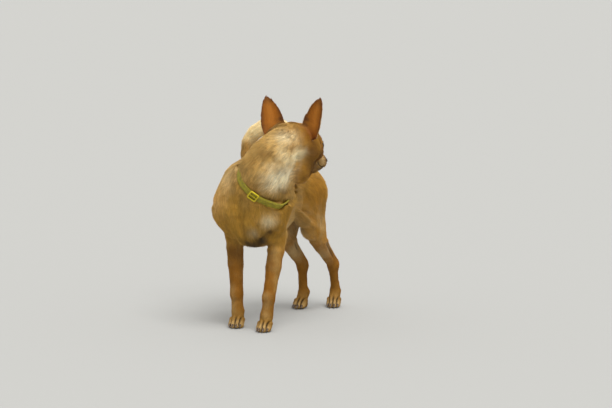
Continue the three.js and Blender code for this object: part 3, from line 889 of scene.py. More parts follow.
class Ear:
    """One ear's own directions: from base to tip, across it, and out of its hollow."""

    def __init__(self, side):
        corners = corners_of(f"ear_{side}")
        self.middle = corners.mean(0)
        along, across, out = np.linalg.svd(corners - self.middle, full_matrices=False)[2]
        self.along = along if along @ (self.middle - np.array(HEAD_MIDDLE)) > 0 else -along
        self.across = across
        open_way = np.array(HEAD_FORWARD * 0.7 + HEAD_LEFT * 0.5 * SIDES[side])
        self.out = out if out @ open_way > 0 else -out
        reach = (corners - self.middle) @ self.along
        self.low, self.high = reach.min(), reach.max()
        wide = (corners - self.middle) @ self.across
        self.levels = np.linspace(0.03, 0.97, 16)
        level = (reach - self.low) / (self.high - self.low)
        close = [np.abs(level - at) < 0.05 for at in self.levels]
        self.first = [wide[near].min() for near in close]
        self.last = [wide[near].max() for near in close]

    def coordinates(self, places):
        """The share from base to tip, and from the middle line to the edge."""
        level = ((places - self.middle) @ self.along - self.low) / (self.high - self.low)
        wide = (places - self.middle) @ self.across
        first = np.interp(level, self.levels, self.first)
        last = np.interp(level, self.levels, self.last)
        return level, np.abs(2 * (wide - first) / np.maximum(last - first, 1 * MM) - 1)


EARS = {side: Ear(side) for side in SIDES}


def ear_facts(places, normals, shares):
    """For each vertex: how far it is on an ear, inside its hollow, up it, and towards its edge."""
    on_ear = shares[:, PARTS.index("ear")]
    hollow, level, edge = np.zeros(len(places)), np.zeros(len(places)), np.zeros(len(places))
    for ear in EARS.values():
        near = np.linalg.norm(places - ear.middle, axis=1) < 75 * MM
        own_level, own_edge = ear.coordinates(places)
        faces_out = steps(0.0, 0.35, normals @ ear.out)
        hollow = np.where(near, faces_out, hollow)
        level = np.where(near, own_level, level)
        edge = np.where(near, own_edge, edge)
    return on_ear, hollow * on_ear, level, edge


# ---------------------------------------------------------------- the lie of the coat

def centre_line(node, levels):
    """The middle of a leg at each height, from its solid."""
    corners = corners_of(node)
    line = []
    for level in levels:
        near = np.exp(-(((corners[:, 2] - level) / 0.012) ** 2))
        spot = (corners * near[:, None]).sum(0) / near.sum()
        line.append(Vector((spot[0], spot[1], level)))
    return line


def tail_line(count):
    """The middle of the tail from root to tip, round the middle of its curl."""
    corners = corners_of("tail")
    low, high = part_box("tail")
    root = np.array(inside("trunk", 0.55, 0.96, 0.62))
    curl = np.array([(low.x * 0.47 + high.x * 0.53), (low.y + high.y) / 2 - 0.005, low.z + 0.036])
    out = curl - root
    out[2] = 0
    out /= np.linalg.norm(out)
    away = corners - curl
    turns = np.arctan2(away[:, 2], -(away @ out))
    turns = np.where(turns < -1.2, turns + 2 * math.pi, turns)
    line = []
    for turn in np.linspace(-0.2, 3.6, count):
        near = np.exp(-(((turns - turn) / 0.22) ** 2))
        line.append(Vector((corners * near[:, None]).sum(0) / near.sum()))
    return line


def coat_lines():
    """The ways the coat lies: each line runs from where the hair starts to where it points."""
    collar = middle("collar_strap")
    nape = inside("neck", 0.75, 0.4, 0.95)
    lines = [
        over_head((112, 0, 0), (60, 0, 16), (34, 0, 34), (0, 0, 44), (-30, 0, 36)),
        [on_head(-30, 0, 36), nape, inside("neck", 0.3, 0.35, 0.8), collar + Vector((-0.04, 0.02, 0.02))],
        [on_head(-40, -30, 10), *through("neck", (0.85, 0.2, 0.55), (0.6, 0.0, 0.3))],
        through("neck", (0.7, 0.05, 0.8), (0.45, 0.0, 0.45), (0.2, 0.05, 0.1)),
        through("neck", (0.5, 0.2, 0.95), (0.1, 0.1, 0.6), (0.0, 0.2, 0.3)),
        over_head((104, 0, -40), (60, 0, -44), (10, 0, -44), (-20, 0, -40)),
        [collar + Vector((-0.03, 0.04, 0.01)), *through("trunk", (0.5, 0.4, 0.97), (0.5, 0.75, 0.82))],
        through("trunk", (0.5, 0.75, 0.82), (0.5, 0.95, 0.75)),
        through("trunk", (0.3, 0.0, 0.7), (0.4, -0.02, 0.4), (0.45, 0.1, 0.0)),
        through("trunk", (0.6, 0.02, 0.6), (0.55, 0.0, 0.35), (0.5, 0.1, 0.0)),
        through("trunk", (0.5, 0.15, 0.0), (0.5, 0.6, 0.2), (0.5, 0.85, 0.4)),
        tail_line(9),
        through("trunk", (0.5, 1.0, 0.6), (0.5, 1.02, 0.3), (0.5, 0.9, 0.1)),
    ]
    for side, turn in SIDES.items():
        out = 0.5 + 0.5 * turn
        thigh = f"thigh_{side}"
        lines += [
            over_head((100, 12 * turn, -14), (60, 22 * turn, -14), (25, 36 * turn, -10)),
            over_head((25, 36 * turn, -10), (-10, 46 * turn, -8), (-40, 44 * turn, -6)),
            over_head((46, 18 * turn, 24), (10, 30 * turn, 32), (-20, 34 * turn, 30)),
            through("trunk", (out, 0.3, 0.7), (out, 0.55, 0.55), (out, 0.8, 0.55)),
            through("trunk", (out, 0.1, 0.7), (out, 0.15, 0.45), (out, 0.2, 0.2)),
            through(thigh, (out, 0.3, 0.95), (out, 0.5, 0.5), (out, 0.6, 0.1)),
            through(thigh, (0.5, 1.0, 0.9), (0.5, 1.0, 0.3)),
            centre_line(f"upper_arm_{side}", [0.255, 0.22, 0.185]),
            centre_line(f"foreleg_{side}", [0.17, 0.13, 0.09, 0.05]),
            centre_line(f"hind_leg_{side}", [0.155, 0.12, 0.09, 0.05]),
            through(f"ear_{side}", (0.5, 0.5, 0.1), (0.5, 0.5, 0.95)),
        ]
        for foot, paw in FEET.items():
            if foot.endswith(side):
                lines.append([middle(paw) + UP * 0.018, claw_line(foot, 2)[0]])
    return lines


def coat_ways(places, normals, links):
    """The direction of the coat at each vertex, along the skin."""
    spots, runs = [], []
    for line in coat_lines():
        for start, end in zip(line, line[1:]):
            count = max(2, round((end - start).length / 0.012))
            for i in range(count):
                spots.append(start.lerp(end, (i + 0.5) / count))
                runs.append((end - start).normalized())
    spots, runs = np.array(spots), np.array(runs)
    ways = np.zeros_like(places)
    for block in np.array_split(np.arange(len(places)), 24):
        gap = ((places[block, None] - spots[None]) ** 2).sum(2)
        pull = 1 / (gap + 1e-5) ** 2
        ways[block] = pull @ runs / pull.sum(1, keepdims=True)
    for _ in range(3):
        ways = unit(ways - normals * (ways * normals).sum(1, keepdims=True))
        ways = softened(ways, links, 6)
    return unit(ways - normals * (ways * normals).sum(1, keepdims=True))


# ---------------------------------------------------------------- markings, painted shade and painted light

FAWN = "#ae8330"
BASE = {
    "head": "#b5822b",
    "ear": "#98590c",
    "neck": "#b08c4c",
    "trunk": FAWN,
    "tail": "#dfc893",
    "upper_arm": "#ab7e28",
    "foreleg": "#945f12",
    "forepaw": "#8f6826",
    "thigh": "#aa7820",
    "hind_leg": "#966214",
    "hind_paw": "#926a2a",
}
LIP = "#241a14"
PAD = "#2f241f"


def marks_and_painted_light():
    """The coat's markings, with patches of painted shade and painted light among them: where, how wide in
    mm, the colour, and how strong.
    """
    both = SIDES.values()
    return [
        (inside("neck", 0.05, 0.4, 0.5), 36, "#a5824a", 0.75),
        (inside("neck", 0.81, 0.47, 0.89), 22, "#dfcfa6", 0.8),
        (inside("neck", 0.88, 0.34, 0.63), 20, "#d2c094", 0.7),
        (inside("neck", 0.75, 0.22, 0.36), 26, "#e8dab4", 0.9),
        (inside("neck", 0.90, 0.40, 0.36), 24, "#eee2c0", 0.9),
        (inside("neck", 0.59, 0.13, 0.70), 16, "#8f6c36", 0.75),
        (inside("neck", 0.40, 0.09, 0.59), 16, "#8a672f", 0.8),
        (inside("neck", 0.39, 0.04, 0.27), 18, "#a67c3c", 0.7),
        (inside("neck", 0.93, 0.47, 0.77), 12, "#8a6530", 0.85),
        (inside("neck", 0.81, 0.63, 0.98), 20, "#97702f", 0.8),
        # Painted shade on the cheeks, over their darker coat.
        *[(on_head(-16, 48 * turn, -17), 22, "#623a0c", 0.85) for turn in both],
        *[(on_head(-3, 37 * turn, -44), 20, "#7d551b", 0.8) for turn in both],
        *[(on_head(-24, 42 * turn, 19), 20, "#845012", 0.85) for turn in both],
        *[(on_head(-42, 34 * turn, -31), 17, "#f0e0b4", 0.95) for turn in both],
        (on_head(-7, -27, -74), 17, "#8f6524", 0.8),
        *[(on_head(38, 38 * turn, -24), 18, "#c79c5a", 0.6) for turn in both],
        *[(on_head(54, 22 * turn, -27), 14, "#c49a58", 0.75) for turn in both],
        *[(on_head(52, 20 * turn, 20), 9, "#d2ab6a", 0.7) for turn in both],
        *[(on_head(84, 12 * turn, -16), 18, "#e4c68c", 0.85) for turn in both],
        (on_head(92, 0, -8), 12, "#7a5730", 0.5),
        (on_head(96, 0, -36), 14, "#3a2a1a", 0.75),
        (on_head(60, 0, -42), 24, "#6b4a22", 0.6),
        (on_head(20, 0, -48), 30, "#7d5a2a", 0.6),
        (inside("trunk", 0.27, 0.06, 0.80), 30, "#e2c48c", 0.75),
        (inside("trunk", 0.12, 0.05, 0.55), 34, "#d2a868", 0.7),
        (inside("trunk", 0.58, 0.0, 0.56), 22, "#b08a45", 0.6),
        (inside("trunk", 0.82, 0.09, 0.36), 17, "#cfbf98", 0.85),
        (inside("neck", 0.78, 0.51, 0.16), 16, "#80602c", 0.7),
        (inside("trunk", 0.68, 0.05, 0.23), 13, "#b3a17c", 0.7),
        # Painted shade in the hollow of the brisket, between the forelegs and where the left upper arm meets
        # the chest.
        (inside("trunk", 0.54, 0.1, 0.02), 26, "#352410", 0.95),
        (inside("upper_arm_left", 0.45, 0.12, 0.37), 11, "#2c1a0a", 0.95),
        (inside("upper_arm_left", 0.22, 0.14, 0.2), 14, "#24170a", 0.95),
        (inside("trunk", 0.5, 0.5, 0.0), 70, "#d2bd90", 0.7),
        (inside("trunk", 0.74, 0.78, 0.63), 46, "#a06c1e", 0.6),
        (inside("trunk", 0.26, 0.78, 0.63), 46, "#a06c1e", 0.6),
        *[(inside("trunk", 0.5 + 0.5 * turn, 0.6, 0.4), 50, "#a87c36", 0.5) for turn in both],
        *[(inside(f"thigh_{side}", 0.5, 1.0, 0.7), 26, "#cdb27c", 0.7) for side in SIDES],
        *[(inside(f"foreleg_{side}", 0.5, 1.0, 0.6), 20, "#c4a060", 0.6) for side in SIDES],
        # Painted shade at the top front of each foreleg, below the chest.
        *[(inside(f"foreleg_{side}", 0.5, 0.1, 0.9), 20, "#6d4919", 0.6) for side in SIDES],
        *[(inside(f"foreleg_{side}", 0.5 + 0.5 * turn, 0.35, level), 10, "#be9a58", 0.5)
          for side, turn in SIDES.items() for level in (0.4, 0.55, 0.7, 0.85, 1.0)],
        *[(inside(f"foreleg_{side}", 0.5, 0.0, level), 11, "#c6a366", 0.45)
          for side in SIDES for level in (0.0, 0.15, 0.3)],
        (inside("tail", 0.1, 0.04, 0.42), 26, "#a2752e", 0.9),
        (inside("tail", 0.17, 0.02, 0.54), 16, "#ab7f3a", 0.8),
        *[(inside(f"thigh_{side}", 0.5 - 0.5 * turn, 0.5, 0.3), 34, "#bfa77a", 0.8)
          for side, turn in SIDES.items()],
        # Painted light on the inner face of each hind leg, lifting the shade there.
        *[(inside(f"hind_leg_{side}", 0.5 - 0.5 * turn, 0.4, 0.8), 28, "#c3a672", 0.85)
          for side, turn in SIDES.items()],
        *[(middle(f"claw_{foot}_{number}") + UP * 4 * MM, 9, "#d4b072", 0.65)
          for foot in FEET for number in TOES],
    ]


def coat_colours(places, normals, shares, links, creases):
    """The coat's colour at each place: its parts' colours, then its markings with painted shade and light,
    then mottling.
    """
    wide = softened(shares, links, 140)
    colours = wide @ np.array([linear(BASE[part]) for part in PARTS])
    for spot, radius, colour, strength in marks_and_painted_light():
        spot = places[np.linalg.norm(places - np.array(spot), axis=1).argmin()]
        distance = np.linalg.norm(places - spot, axis=1) * (1 + 0.25 * drift(places, 9 * MM, 4))
        fall = strength * np.exp(-((distance / (radius * MM)) ** 2) * 1.2)
        colours += (np.array(linear(colour)) - colours) * fall[:, None]
    mottled = ("neck", "trunk", "thigh", "upper_arm")
    on_body = blend_of(shares, {part: float(part in mottled) for part in PARTS})
    colours = colours * (1 + (0.04 + 0.10 * on_body) * drift(places, 15 * MM, 3))[:, None]

    def tint(colour, amount):
        return colours + (np.array(linear(colour)) - colours) * np.clip(amount, 0, 1)[:, None]

    on_ear, hollow, level, edge = ear_facts(places, normals, shares)
    back = on_ear * (1 - hollow)
    colours = tint("#ab6a1e", back * (1 - steps(0.1, 0.5, edge)) * steps(0.1, 0.35, level))
    colours = tint("#8a480b", on_ear * (1 - steps(0.05, 0.35, level)) * (1 - hollow))
    colours = tint("#4d280d", back * steps(0.5, 1.0, edge) * steps(0.12, 0.35, level) * 0.85)
    colours = tint("#46240c", back * steps(0.7, 1.0, level) * 0.85)
    colours = tint("#431d06", back * (1 - steps(0.04, 0.22, level)) * steps(0.25, 0.8, edge) * 0.85)
    colours = tint("#b98468", hollow * (1 - steps(0.5, 0.95, edge)))
    # Painted shade deep in the ear's hollow, at its base.
    colours = tint("#7d4a3a", hollow * (1 - steps(0.0, 0.4, level)) * (1 - steps(0.3, 0.9, edge)))
    colours = tint("#cda973", hollow * steps(0.6, 0.95, edge) * (1 - steps(0.7, 0.95, level)))
    colours = tint(LIP, 0.95 * steps(0.1, 0.6, creases["lips"]))
    # Painted shade in the clefts between the toes.
    colours = tint("#2a1a0b", 0.9 * steps(0.15, 0.8, creases["clefts"]))
    # Painted shadow in the hollow in front of each heel's tendon.
    colours = tint("#4f3310", 0.6 * steps(0.3, 0.95, creases["hollows"]))
    for eye in EYES.values():
        near = np.linalg.norm(places - eye.middle, axis=1) < 2 * EYE_RADIUS
        colours = tint("#2a1c13", near * 0.9 * (1 - steps(0.4, 2.4, eye.opening(places))))
    colours = tint(LIP, 1 - steps(1.0, 1.16, nose_reach(places)))
    return tint(PAD, 1 - steps(1.6 * MM, 3.4 * MM, places[:, 2]))


# ---------------------------------------------------------------- tufts

# The faces of a straight tuft: its foot's three corners, then its tip.
SPIKE = np.array([(0, 1, 2), (1, 0, 3), (0, 2, 3), (2, 1, 3)])
# The faces of a bent tuft: its foot's three corners, then three at its bend, then its tip.
BENT_FOOT = [(0, 1, 2), (1, 0, 3), (1, 3, 4), (0, 2, 5), (0, 5, 3), (2, 1, 4), (2, 4, 5)]
BENT = np.array([*BENT_FOOT, (4, 3, 6), (3, 5, 6), (5, 4, 6)])
TUFT_PATCH = 0.003  # the side of a tuft's patch on the map


def tufts(name, roots, material):
    """One coat piece: a thin closed spike at each root, bent over where the coat is long."""
    place, normal, way = roots["place"], roots["normal"], roots["way"]
    across = np.cross(normal, way)
    length, width, lift = (roots[key][:, None] for key in ("length", "width", "lift"))
    thick = TUFT_THICKNESS * width
    base = place - normal * roots["sink"][:, None]
    bent = roots["bent"]
    if bent:
        knee_rise = way * np.cos(lift * 1.5) + normal * np.sin(lift * 1.5)
        knee = base + knee_rise * length * 0.5
        tip = knee + (way * np.cos(lift * 0.35) + normal * np.sin(lift * 0.35)) * length * 0.5
        rings = [
            base + across * width * 0.4,
            base - across * width * 0.4,
            base + normal * thick,
            knee + across * width * 0.5,
            knee - across * width * 0.5,
            knee + normal * thick,
            tip,
        ]
        faces, heights = BENT, (0.0, 0.0, 0.1, 0.55, 0.55, 0.6, 1.0)
    else:
        tip = base + (way * np.cos(lift) + normal * np.sin(lift)) * length
        rings = [base + across * width * 0.5, base - across * width * 0.5, base + normal * thick, tip]
        faces, heights = SPIKE, (0.0, 0.0, 0.15, 1.0)
    per = len(rings)
    count = len(place)
    corners = np.stack(rings, axis=1).reshape(-1, 3)
    corners[:, 2] = np.maximum(corners[:, 2], 0.2 * MM)  # the lowest hairs lie on the ground
    triangles = (faces[None] + (np.arange(count) * per)[:, None, None]).reshape(-1, 3)

    mesh = bpy.data.meshes.new(name)
    mesh.vertices.add(len(corners))
    mesh.vertices.foreach_set("co", corners.ravel())
    mesh.loops.add(triangles.size)
    mesh.loops.foreach_set("vertex_index", triangles.ravel().astype(np.int32))
    mesh.polygons.add(len(triangles))
    mesh.polygons.foreach_set("loop_start", np.arange(0, triangles.size, 3, dtype=np.int32))
    mesh.update(calc_edges=True)
    mesh.shade_flat()

    shade = ROOT_SHADE + (TIP_SHADE - ROOT_SHADE) * np.array(heights)
    colours = (roots["colour"][:, None] * shade[None, :, None]).reshape(-1, 3)
    paint(mesh, "coat", colours)

    sides = (0.0, 1.0, 0.5, 0.2, 0.8, 0.5, 0.5) if bent else (0.0, 1.0, 0.5, 0.5)
    patch = TUFT_PATCH * np.column_stack([sides, heights])
    flat = (roots["uv"][:, None] + patch[None]).reshape(-1, 2)
    layer = mesh.uv_layers.new(name="OFBake")
    layer.data.foreach_set("uv", flat[triangles.ravel()].astype(np.float32).ravel())

    # Each tuft's upper faces are lit partly as the skin under it is, so that the coat reads as one.
    a, b, c = (corners[triangles[:, i]] for i in range(3))
    facing = unit(np.cross(b - a, c - a))
    soft = np.repeat(unit(normal + way * 0.2), len(faces), axis=0)
    upward = (facing * soft).sum(1, keepdims=True) > 0
    facing = np.where(upward, unit(facing + soft * SKIN_LIGHT), facing)
    mesh.normals_split_custom_set(np.repeat(facing, 3, axis=0).astype(np.float32))
    return shown(name, mesh, material)


def unwrapped(mesh, places):
    """Flat map places for the skin's vertices, from an unwrap of its own shape made simpler."""
    plain = placed("plain", mesh.copy())
    simpler = plain.modifiers.new("simpler", "DECIMATE")
    simpler.ratio = UNWRAP_FACES / len(mesh.polygons)
    lighter = evaluated(plain)
    plain.modifiers.clear()
    plain.data = lighter
    bpy.context.view_layer.objects.active = plain
    plain.select_set(True)
    bpy.ops.object.mode_set(mode="EDIT")
    bpy.ops.mesh.select_all(action="SELECT")
    bpy.ops.uv.smart_project(angle_limit=math.radians(60), island_margin=0.004)
    bpy.ops.object.mode_set(mode="OBJECT")
    lighter.calc_loop_triangles()
    corners = points_of(lighter)
    flat = np.zeros(len(lighter.loops) * 2)
    lighter.uv_layers.active.data.foreach_get("uv", flat)
    flat = flat.reshape(-1, 2)
    ends = np.array([tri.vertices[:] for tri in lighter.loop_triangles])
    loops = np.array([tri.loops[:] for tri in lighter.loop_triangles])
    tree = BVHTree.FromPolygons([Vector(c) for c in corners], ends.tolist())
    hits = [tree.find_nearest(Vector(place)) for place in places]
    spot = np.array([hit[0] for hit in hits])
    face = np.array([hit[2] for hit in hits])
    bpy.data.objects.remove(plain)

    a, b, c = (corners[ends[face, i]] for i in range(3))
    side_b, side_c, away = b - a, c - a, spot - a
    bb, bc, cc = (side_b * side_b).sum(1), (side_b * side_c).sum(1), (side_c * side_c).sum(1)
    ab, ac = (away * side_b).sum(1), (away * side_c).sum(1)
    whole = np.maximum(bb * cc - bc * bc, 1e-18)
    share_b = (cc * ab - bc * ac) / whole
    share_c = (bb * ac - bc * ab) / whole
    shares = np.clip(np.stack([1 - share_b - share_c, share_b, share_c], axis=1), 0, 1)
    return (flat[loops[face]] * shares[:, :, None]).sum(1)


# ---------------------------------------------------------------- collar

class Ring:
    """The collar's ring, worked out from the strap's solid."""

    def __init__(self):
        corners = corners_of("collar_strap")
        self.middle = corners.mean(0)
        self.axis = np.linalg.svd(corners - self.middle, full_matrices=False)[2][2]
        if self.axis[2] < 0:
            self.axis = -self.axis
        along = (corners - self.middle) @ self.axis
        self.middle = self.middle + self.axis * (along.min() + along.max()) / 2
        self.half = (along.max() - along.min()) / 2
        buckle = np.array(middle("collar_buckle")) - self.middle
        self.near = unit(buckle - self.axis * (buckle @ self.axis))
        self.side = np.cross(self.axis, self.near)
        turn, along, reach = self.coordinates(corners)
        self.turns = np.linspace(0, 2 * math.pi, 181)[:-1]
        self.outer = {}
        for edge in (-1, 1):
            rim = along * edge > self.half * 0.5
            gap = np.abs((turn[rim][None] - self.turns[:, None] + math.pi) % (2 * math.pi) - math.pi)
            close = np.exp(-((gap / 0.11) ** 2))
            middle_reach = (close * reach[rim][None]).sum(1) / close.sum(1)
            self.outer[edge] = middle_reach + 1.35 * MM

    def coordinates(self, places):
        """Turn round the ring from the buckle, way along the axis, and reach from the axis."""
        away = places - self.middle
        along = away @ self.axis
        flat = away - along[:, None] * self.axis
        turn = np.arctan2(flat @ self.side, flat @ self.near)
        return turn, along, np.linalg.norm(flat, axis=1)

    def surface(self, turn, along):
        """The reach of the strap's outer face there."""
        low = np.interp(turn % (2 * math.pi), self.turns, self.outer[-1], period=2 * math.pi)
        high = np.interp(turn % (2 * math.pi), self.turns, self.outer[1], period=2 * math.pi)
        share = np.clip(along / self.half / 2 + 0.5, 0, 1)
        return low + (high - low) * share

    def place(self, turn, along, out=0.0):
        reach = float(self.surface(np.array(turn), np.array(along))) + out
        way = self.near * math.cos(turn) + self.side * math.sin(turn)
        return Vector(self.middle + way * reach + self.axis * along)


def band(ring, start, end, half, thickness, out, columns, rows=6, closed=False):
    """A flat strip laid round the ring from one turn to another, crowned a little across."""
    shape = bmesh.new()
    bmesh.ops.create_grid(shape, x_segments=columns, y_segments=rows, size=0.5)
    layer = shape.loops.layers.uv.new("along_strap")
    reach = float(ring.surface(np.array(0.0), np.array(0.0))) / MM
    for face in shape.faces:
        for loop in face.loops:
            x, y = loop.vert.co.x + 0.5, loop.vert.co.y
            loop[layer].uv = ((start + (end - start) * x) * reach, y * 2 * half / MM)
    for vert in shape.verts:
        x, y = vert.co.x + 0.5, vert.co.y * 2
        crown = 0.3 * MM * (1 - y * y)
        vert.co = ring.place(start + (end - start) * x, y * half, out + crown)
    if closed:
        bmesh.ops.remove_doubles(shape, verts=shape.verts, dist=0.05 * MM)
    bmesh.ops.recalc_face_normals(shape, faces=shape.faces)
    sample = min(shape.faces, key=lambda face: (face.calc_center_median() - ring.place(start, 0)).length)
    outward = sample.calc_center_median() - Vector(ring.middle)
    if sample.normal.dot(outward) < 0:
        bmesh.ops.reverse_faces(shape, faces=shape.faces)
    bmesh.ops.solidify(shape, geom=shape.faces[:], thickness=thickness)
    bmesh.ops.recalc_face_normals(shape, faces=shape.faces)
    return shape


def make_collar(ring):
    """The strap with its free end, the keeper, the buckle's frame and its pin."""
    nylon, moulded = webbing(), acetal()
    loop = band(ring, 0, 2 * math.pi, ring.half, STRAP_THICKNESS, 0, 181, closed=True)
    strap = shown("strap", mesh_from("strap", loop), nylon)
    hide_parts("collar_strap")
    end = band(ring, 0.2, 1.15, ring.half * 0.94, 1.2 * MM, 1.5 * MM, 40)
    shown("strap_free_end", mesh_from("strap_free_end", end), nylon)
    keeper = band(ring, 0.62, 0.72, ring.half * 1.08, 1.0 * MM, 2.6 * MM, 6)
    shown("strap_keeper", mesh_from("strap_keeper", keeper), nylon)
    for name, node in (("buckle_frame", "collar_buckle"), ("buckle_pin", "collar_pin")):
        shape = bmesh.new()
        grown_copy(shape, node, 0)
        bmesh.ops.dissolve_limit(shape, angle_limit=0.02, verts=shape.verts, edges=shape.edges)
        sharp = [edge for edge in shape.edges if edge.calc_face_angle(0) > 0.7]
        bmesh.ops.bevel(
            shape, geom=sharp, offset=0.55 * MM, segments=3, profile=0.5, affect="EDGES", material=-1
        )
        piece = shown(name, mesh_from(name, shape), moulded)
        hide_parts(node)


# ---------------------------------------------------------------- eyes, nose and claws

def make_eye(side, material):
    """An eyeball with its cornea's bulge, turned to look where the eye looks."""
    eye = EYES[side]
    shape = bmesh.new()
    bmesh.ops.create_uvsphere(shape, u_segments=40, v_segments=28, radius=EYE_RADIUS)
    turn = Vector((0, 0, 1)).rotation_difference(Vector(eye.look)).to_matrix()
    angles = []
    for vert in shape.verts:
        angle = vert.co.angle(Vector((0, 0, 1)), 0)
        vert.co *= 1 + 0.07 * float(1 - steps(0.35, 0.75, angle))
        vert.co = turn @ vert.co + Vector(eye.middle)
        angles.append(angle / math.pi)
    mesh = mesh_from(f"eyeball_{side}", shape)
    mesh.attributes.new("from_pupil", "FLOAT", "POINT").data.foreach_set("value", angles)
    piece = shown(f"eyeball_{side}", mesh, material)
    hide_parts(f"eye_{side}")


def make_lid_rim(side, material):
    """The bare dark edge of the lids."""
    curve = bpy.data.curves.new(f"lid_rim_{side}", "CURVE")
    curve.dimensions = "3D"
    curve.bevel_depth = 0.5 * MM
    curve.bevel_resolution = 3
    edge = EYES[side].rim(48)
    spline = curve.splines.new("POLY")
    spline.points.add(len(edge) - 1)
    for spot, place in zip(spline.points, edge):
        spot.co = (*place, 1)
    spline.use_cyclic_u = True
    rim = placed("rim", curve)
    mesh = evaluated(rim)
    bpy.data.objects.remove(rim)
    mesh.shade_smooth()
    shown(f"lid_rim_{side}", mesh, material)


def make_nose(material):
    """The nose pad: broad on top, with a comma of a nostril on each side and a cleft between."""
    shape = bmesh.new()
    bmesh.ops.create_uvsphere(shape, u_segments=72, v_segments=48, radius=1)
    turn = Matrix((HEAD_FORWARD, HEAD_LEFT, HEAD_UP)).transposed()
    centre = on_head(*NOSE_AT)
    for vert in shape.verts:
        x, y, z = vert.co
        y *= 1 - 0.25 * max(-z, 0) ** 1.5
        cleft = math.exp(-((y / 0.07) ** 2)) * (0.12 if x > 0 and z < 0.4 else 0)
        comma = 0
        for s in (-1, 1):
            hole = math.hypot((y * s - 0.48) / 0.2, (z + 0.05 - 0.3 * (y * s - 0.48)) / 0.24)
            slit = math.hypot((y * s - 0.78) / 0.26, (z + 0.22) / 0.1)
            comma = max(comma, math.exp(-(hole**4)), 0.7 * math.exp(-(slit**4)))
        sink = 1 - cleft - (0.42 * comma if x > 0 else 0)
        shape_share = Vector((x * sink, y * (1 - 0.1 * comma), z))
        vert.co = centre + turn @ (shape_share * Vector(NOSE_HALF)) * MM
    piece = shown("nose_pad", mesh_from("nose_pad", shape), material)
    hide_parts("nose")


def make_claws(material):
    """Each claw as a curved, tapered horn."""
    for foot in FEET:
        for number in TOES:
            root, tip = claw_line(foot, number)
            axis = (tip - root).normalized()
            run = (tip - root).length
            shape = bmesh.new()
            bmesh.ops.create_cone(
                shape, cap_ends=True, segments=12, radius1=CLAW_ROOT, radius2=CLAW_TIP, depth=run
            )
            long_edges = [e for e in shape.edges if abs(e.verts[0].co.z - e.verts[1].co.z) > run / 2]
            bmesh.ops.subdivide_edges(shape, edges=long_edges, cuts=11)
            turn = Vector((0, 0, 1)).rotation_difference(axis).to_matrix()
            droop = Vector((0, 0, -1)) - axis * -axis.z
            for vert in shape.verts:
                share = vert.co.z / run + 0.5
                fat = 1 + 0.2 * math.sin(math.pi * share)
                if share > 0.75:
                    fat *= math.sqrt(max(1 - ((share - 0.75) / 0.25) ** 2, 0.02))
                flat = turn @ Vector((vert.co.x * fat * 0.85, vert.co.y * fat, vert.co.z))
                arch = droop * (0.9 * MM) * -math.sin(math.pi * share)
                vert.co = (root + tip) / 2 + flat + arch
            if shape.calc_volume(signed=True) < 0:
                bmesh.ops.reverse_faces(shape, faces=shape.faces)
            name = f"nail_{foot}_{number}"
            piece = shown(name, mesh_from(name, shape), material)
            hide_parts(f"claw_{foot}_{number}")


# ---------------------------------------------------------------- putting the dog together

def rounded_tail(places, shares):
    """Gives the tail one even thickness round its middle line, which tapers to its tip."""
    line = tail_line(30)
    tail = shares[:, PARTS.index("tail")]
    chosen = np.flatnonzero(tail > 0.5)
    own = places[chosen]
    reach, along = near_path(own, line)
    levels = np.linspace(0, 1, 24)
    near = np.exp(-(((along[None] - levels[:, None]) / 0.04) ** 2))
    even = np.interp(along, levels, (near * reach[None]).sum(1) / near.sum(1))
    spots = np.array([list(spot) for spot in line])
    step = along * (len(line) - 1)
    core = np.stack([np.interp(step, np.arange(len(line)), spots[:, i]) for i in range(3)], axis=1)
    hold = (steps(0.6, 0.98, tail[chosen]) * steps(0.02, 0.1, along) * steps(0.0, 0.06, 1 - along))[:, None]
    rounded = places.copy()
    rounded[chosen] += (core + unit(own - core) * even[:, None] - own) * hold * 0.85
    return rounded


def make_skin():
    """The skin's mesh, with its vertices' neighbours, parts and creases."""
    mesh = largest_piece(remeshed_flesh())
    links = neighbours(mesh)
    places = points_of(mesh)
    shares = part_shares(places, links)
    places = without_facets(places, links, blend_of(shares, ROUNDS))
    places = rounded_tail(places, shares)
    move_vertices(mesh, places)
    depth = blend_of(shares, {part: COAT[part][1] * MM for part in PARTS})
    move_vertices(mesh, places - normals_of(mesh) * depth[:, None])

    detailed = {part: float("paw" in part or part in ("head", "ear")) for part in PARTS}
    mesh = lightened(mesh, 1 - blend_of(shares, detailed))
    places = points_of(mesh)
    near_eye = np.zeros(len(places), bool)
    for eye in EYES.values():
        near_eye |= np.linalg.norm(places - eye.middle, axis=1) < 1.6 * EYE_RADIUS
    refine(mesh, near_eye)

    links = neighbours(mesh)
    shares = part_shares(points_of(mesh), links)
    places, creases = sculpted(mesh)
    move_vertices(mesh, places)
    return mesh, links, shares, creases


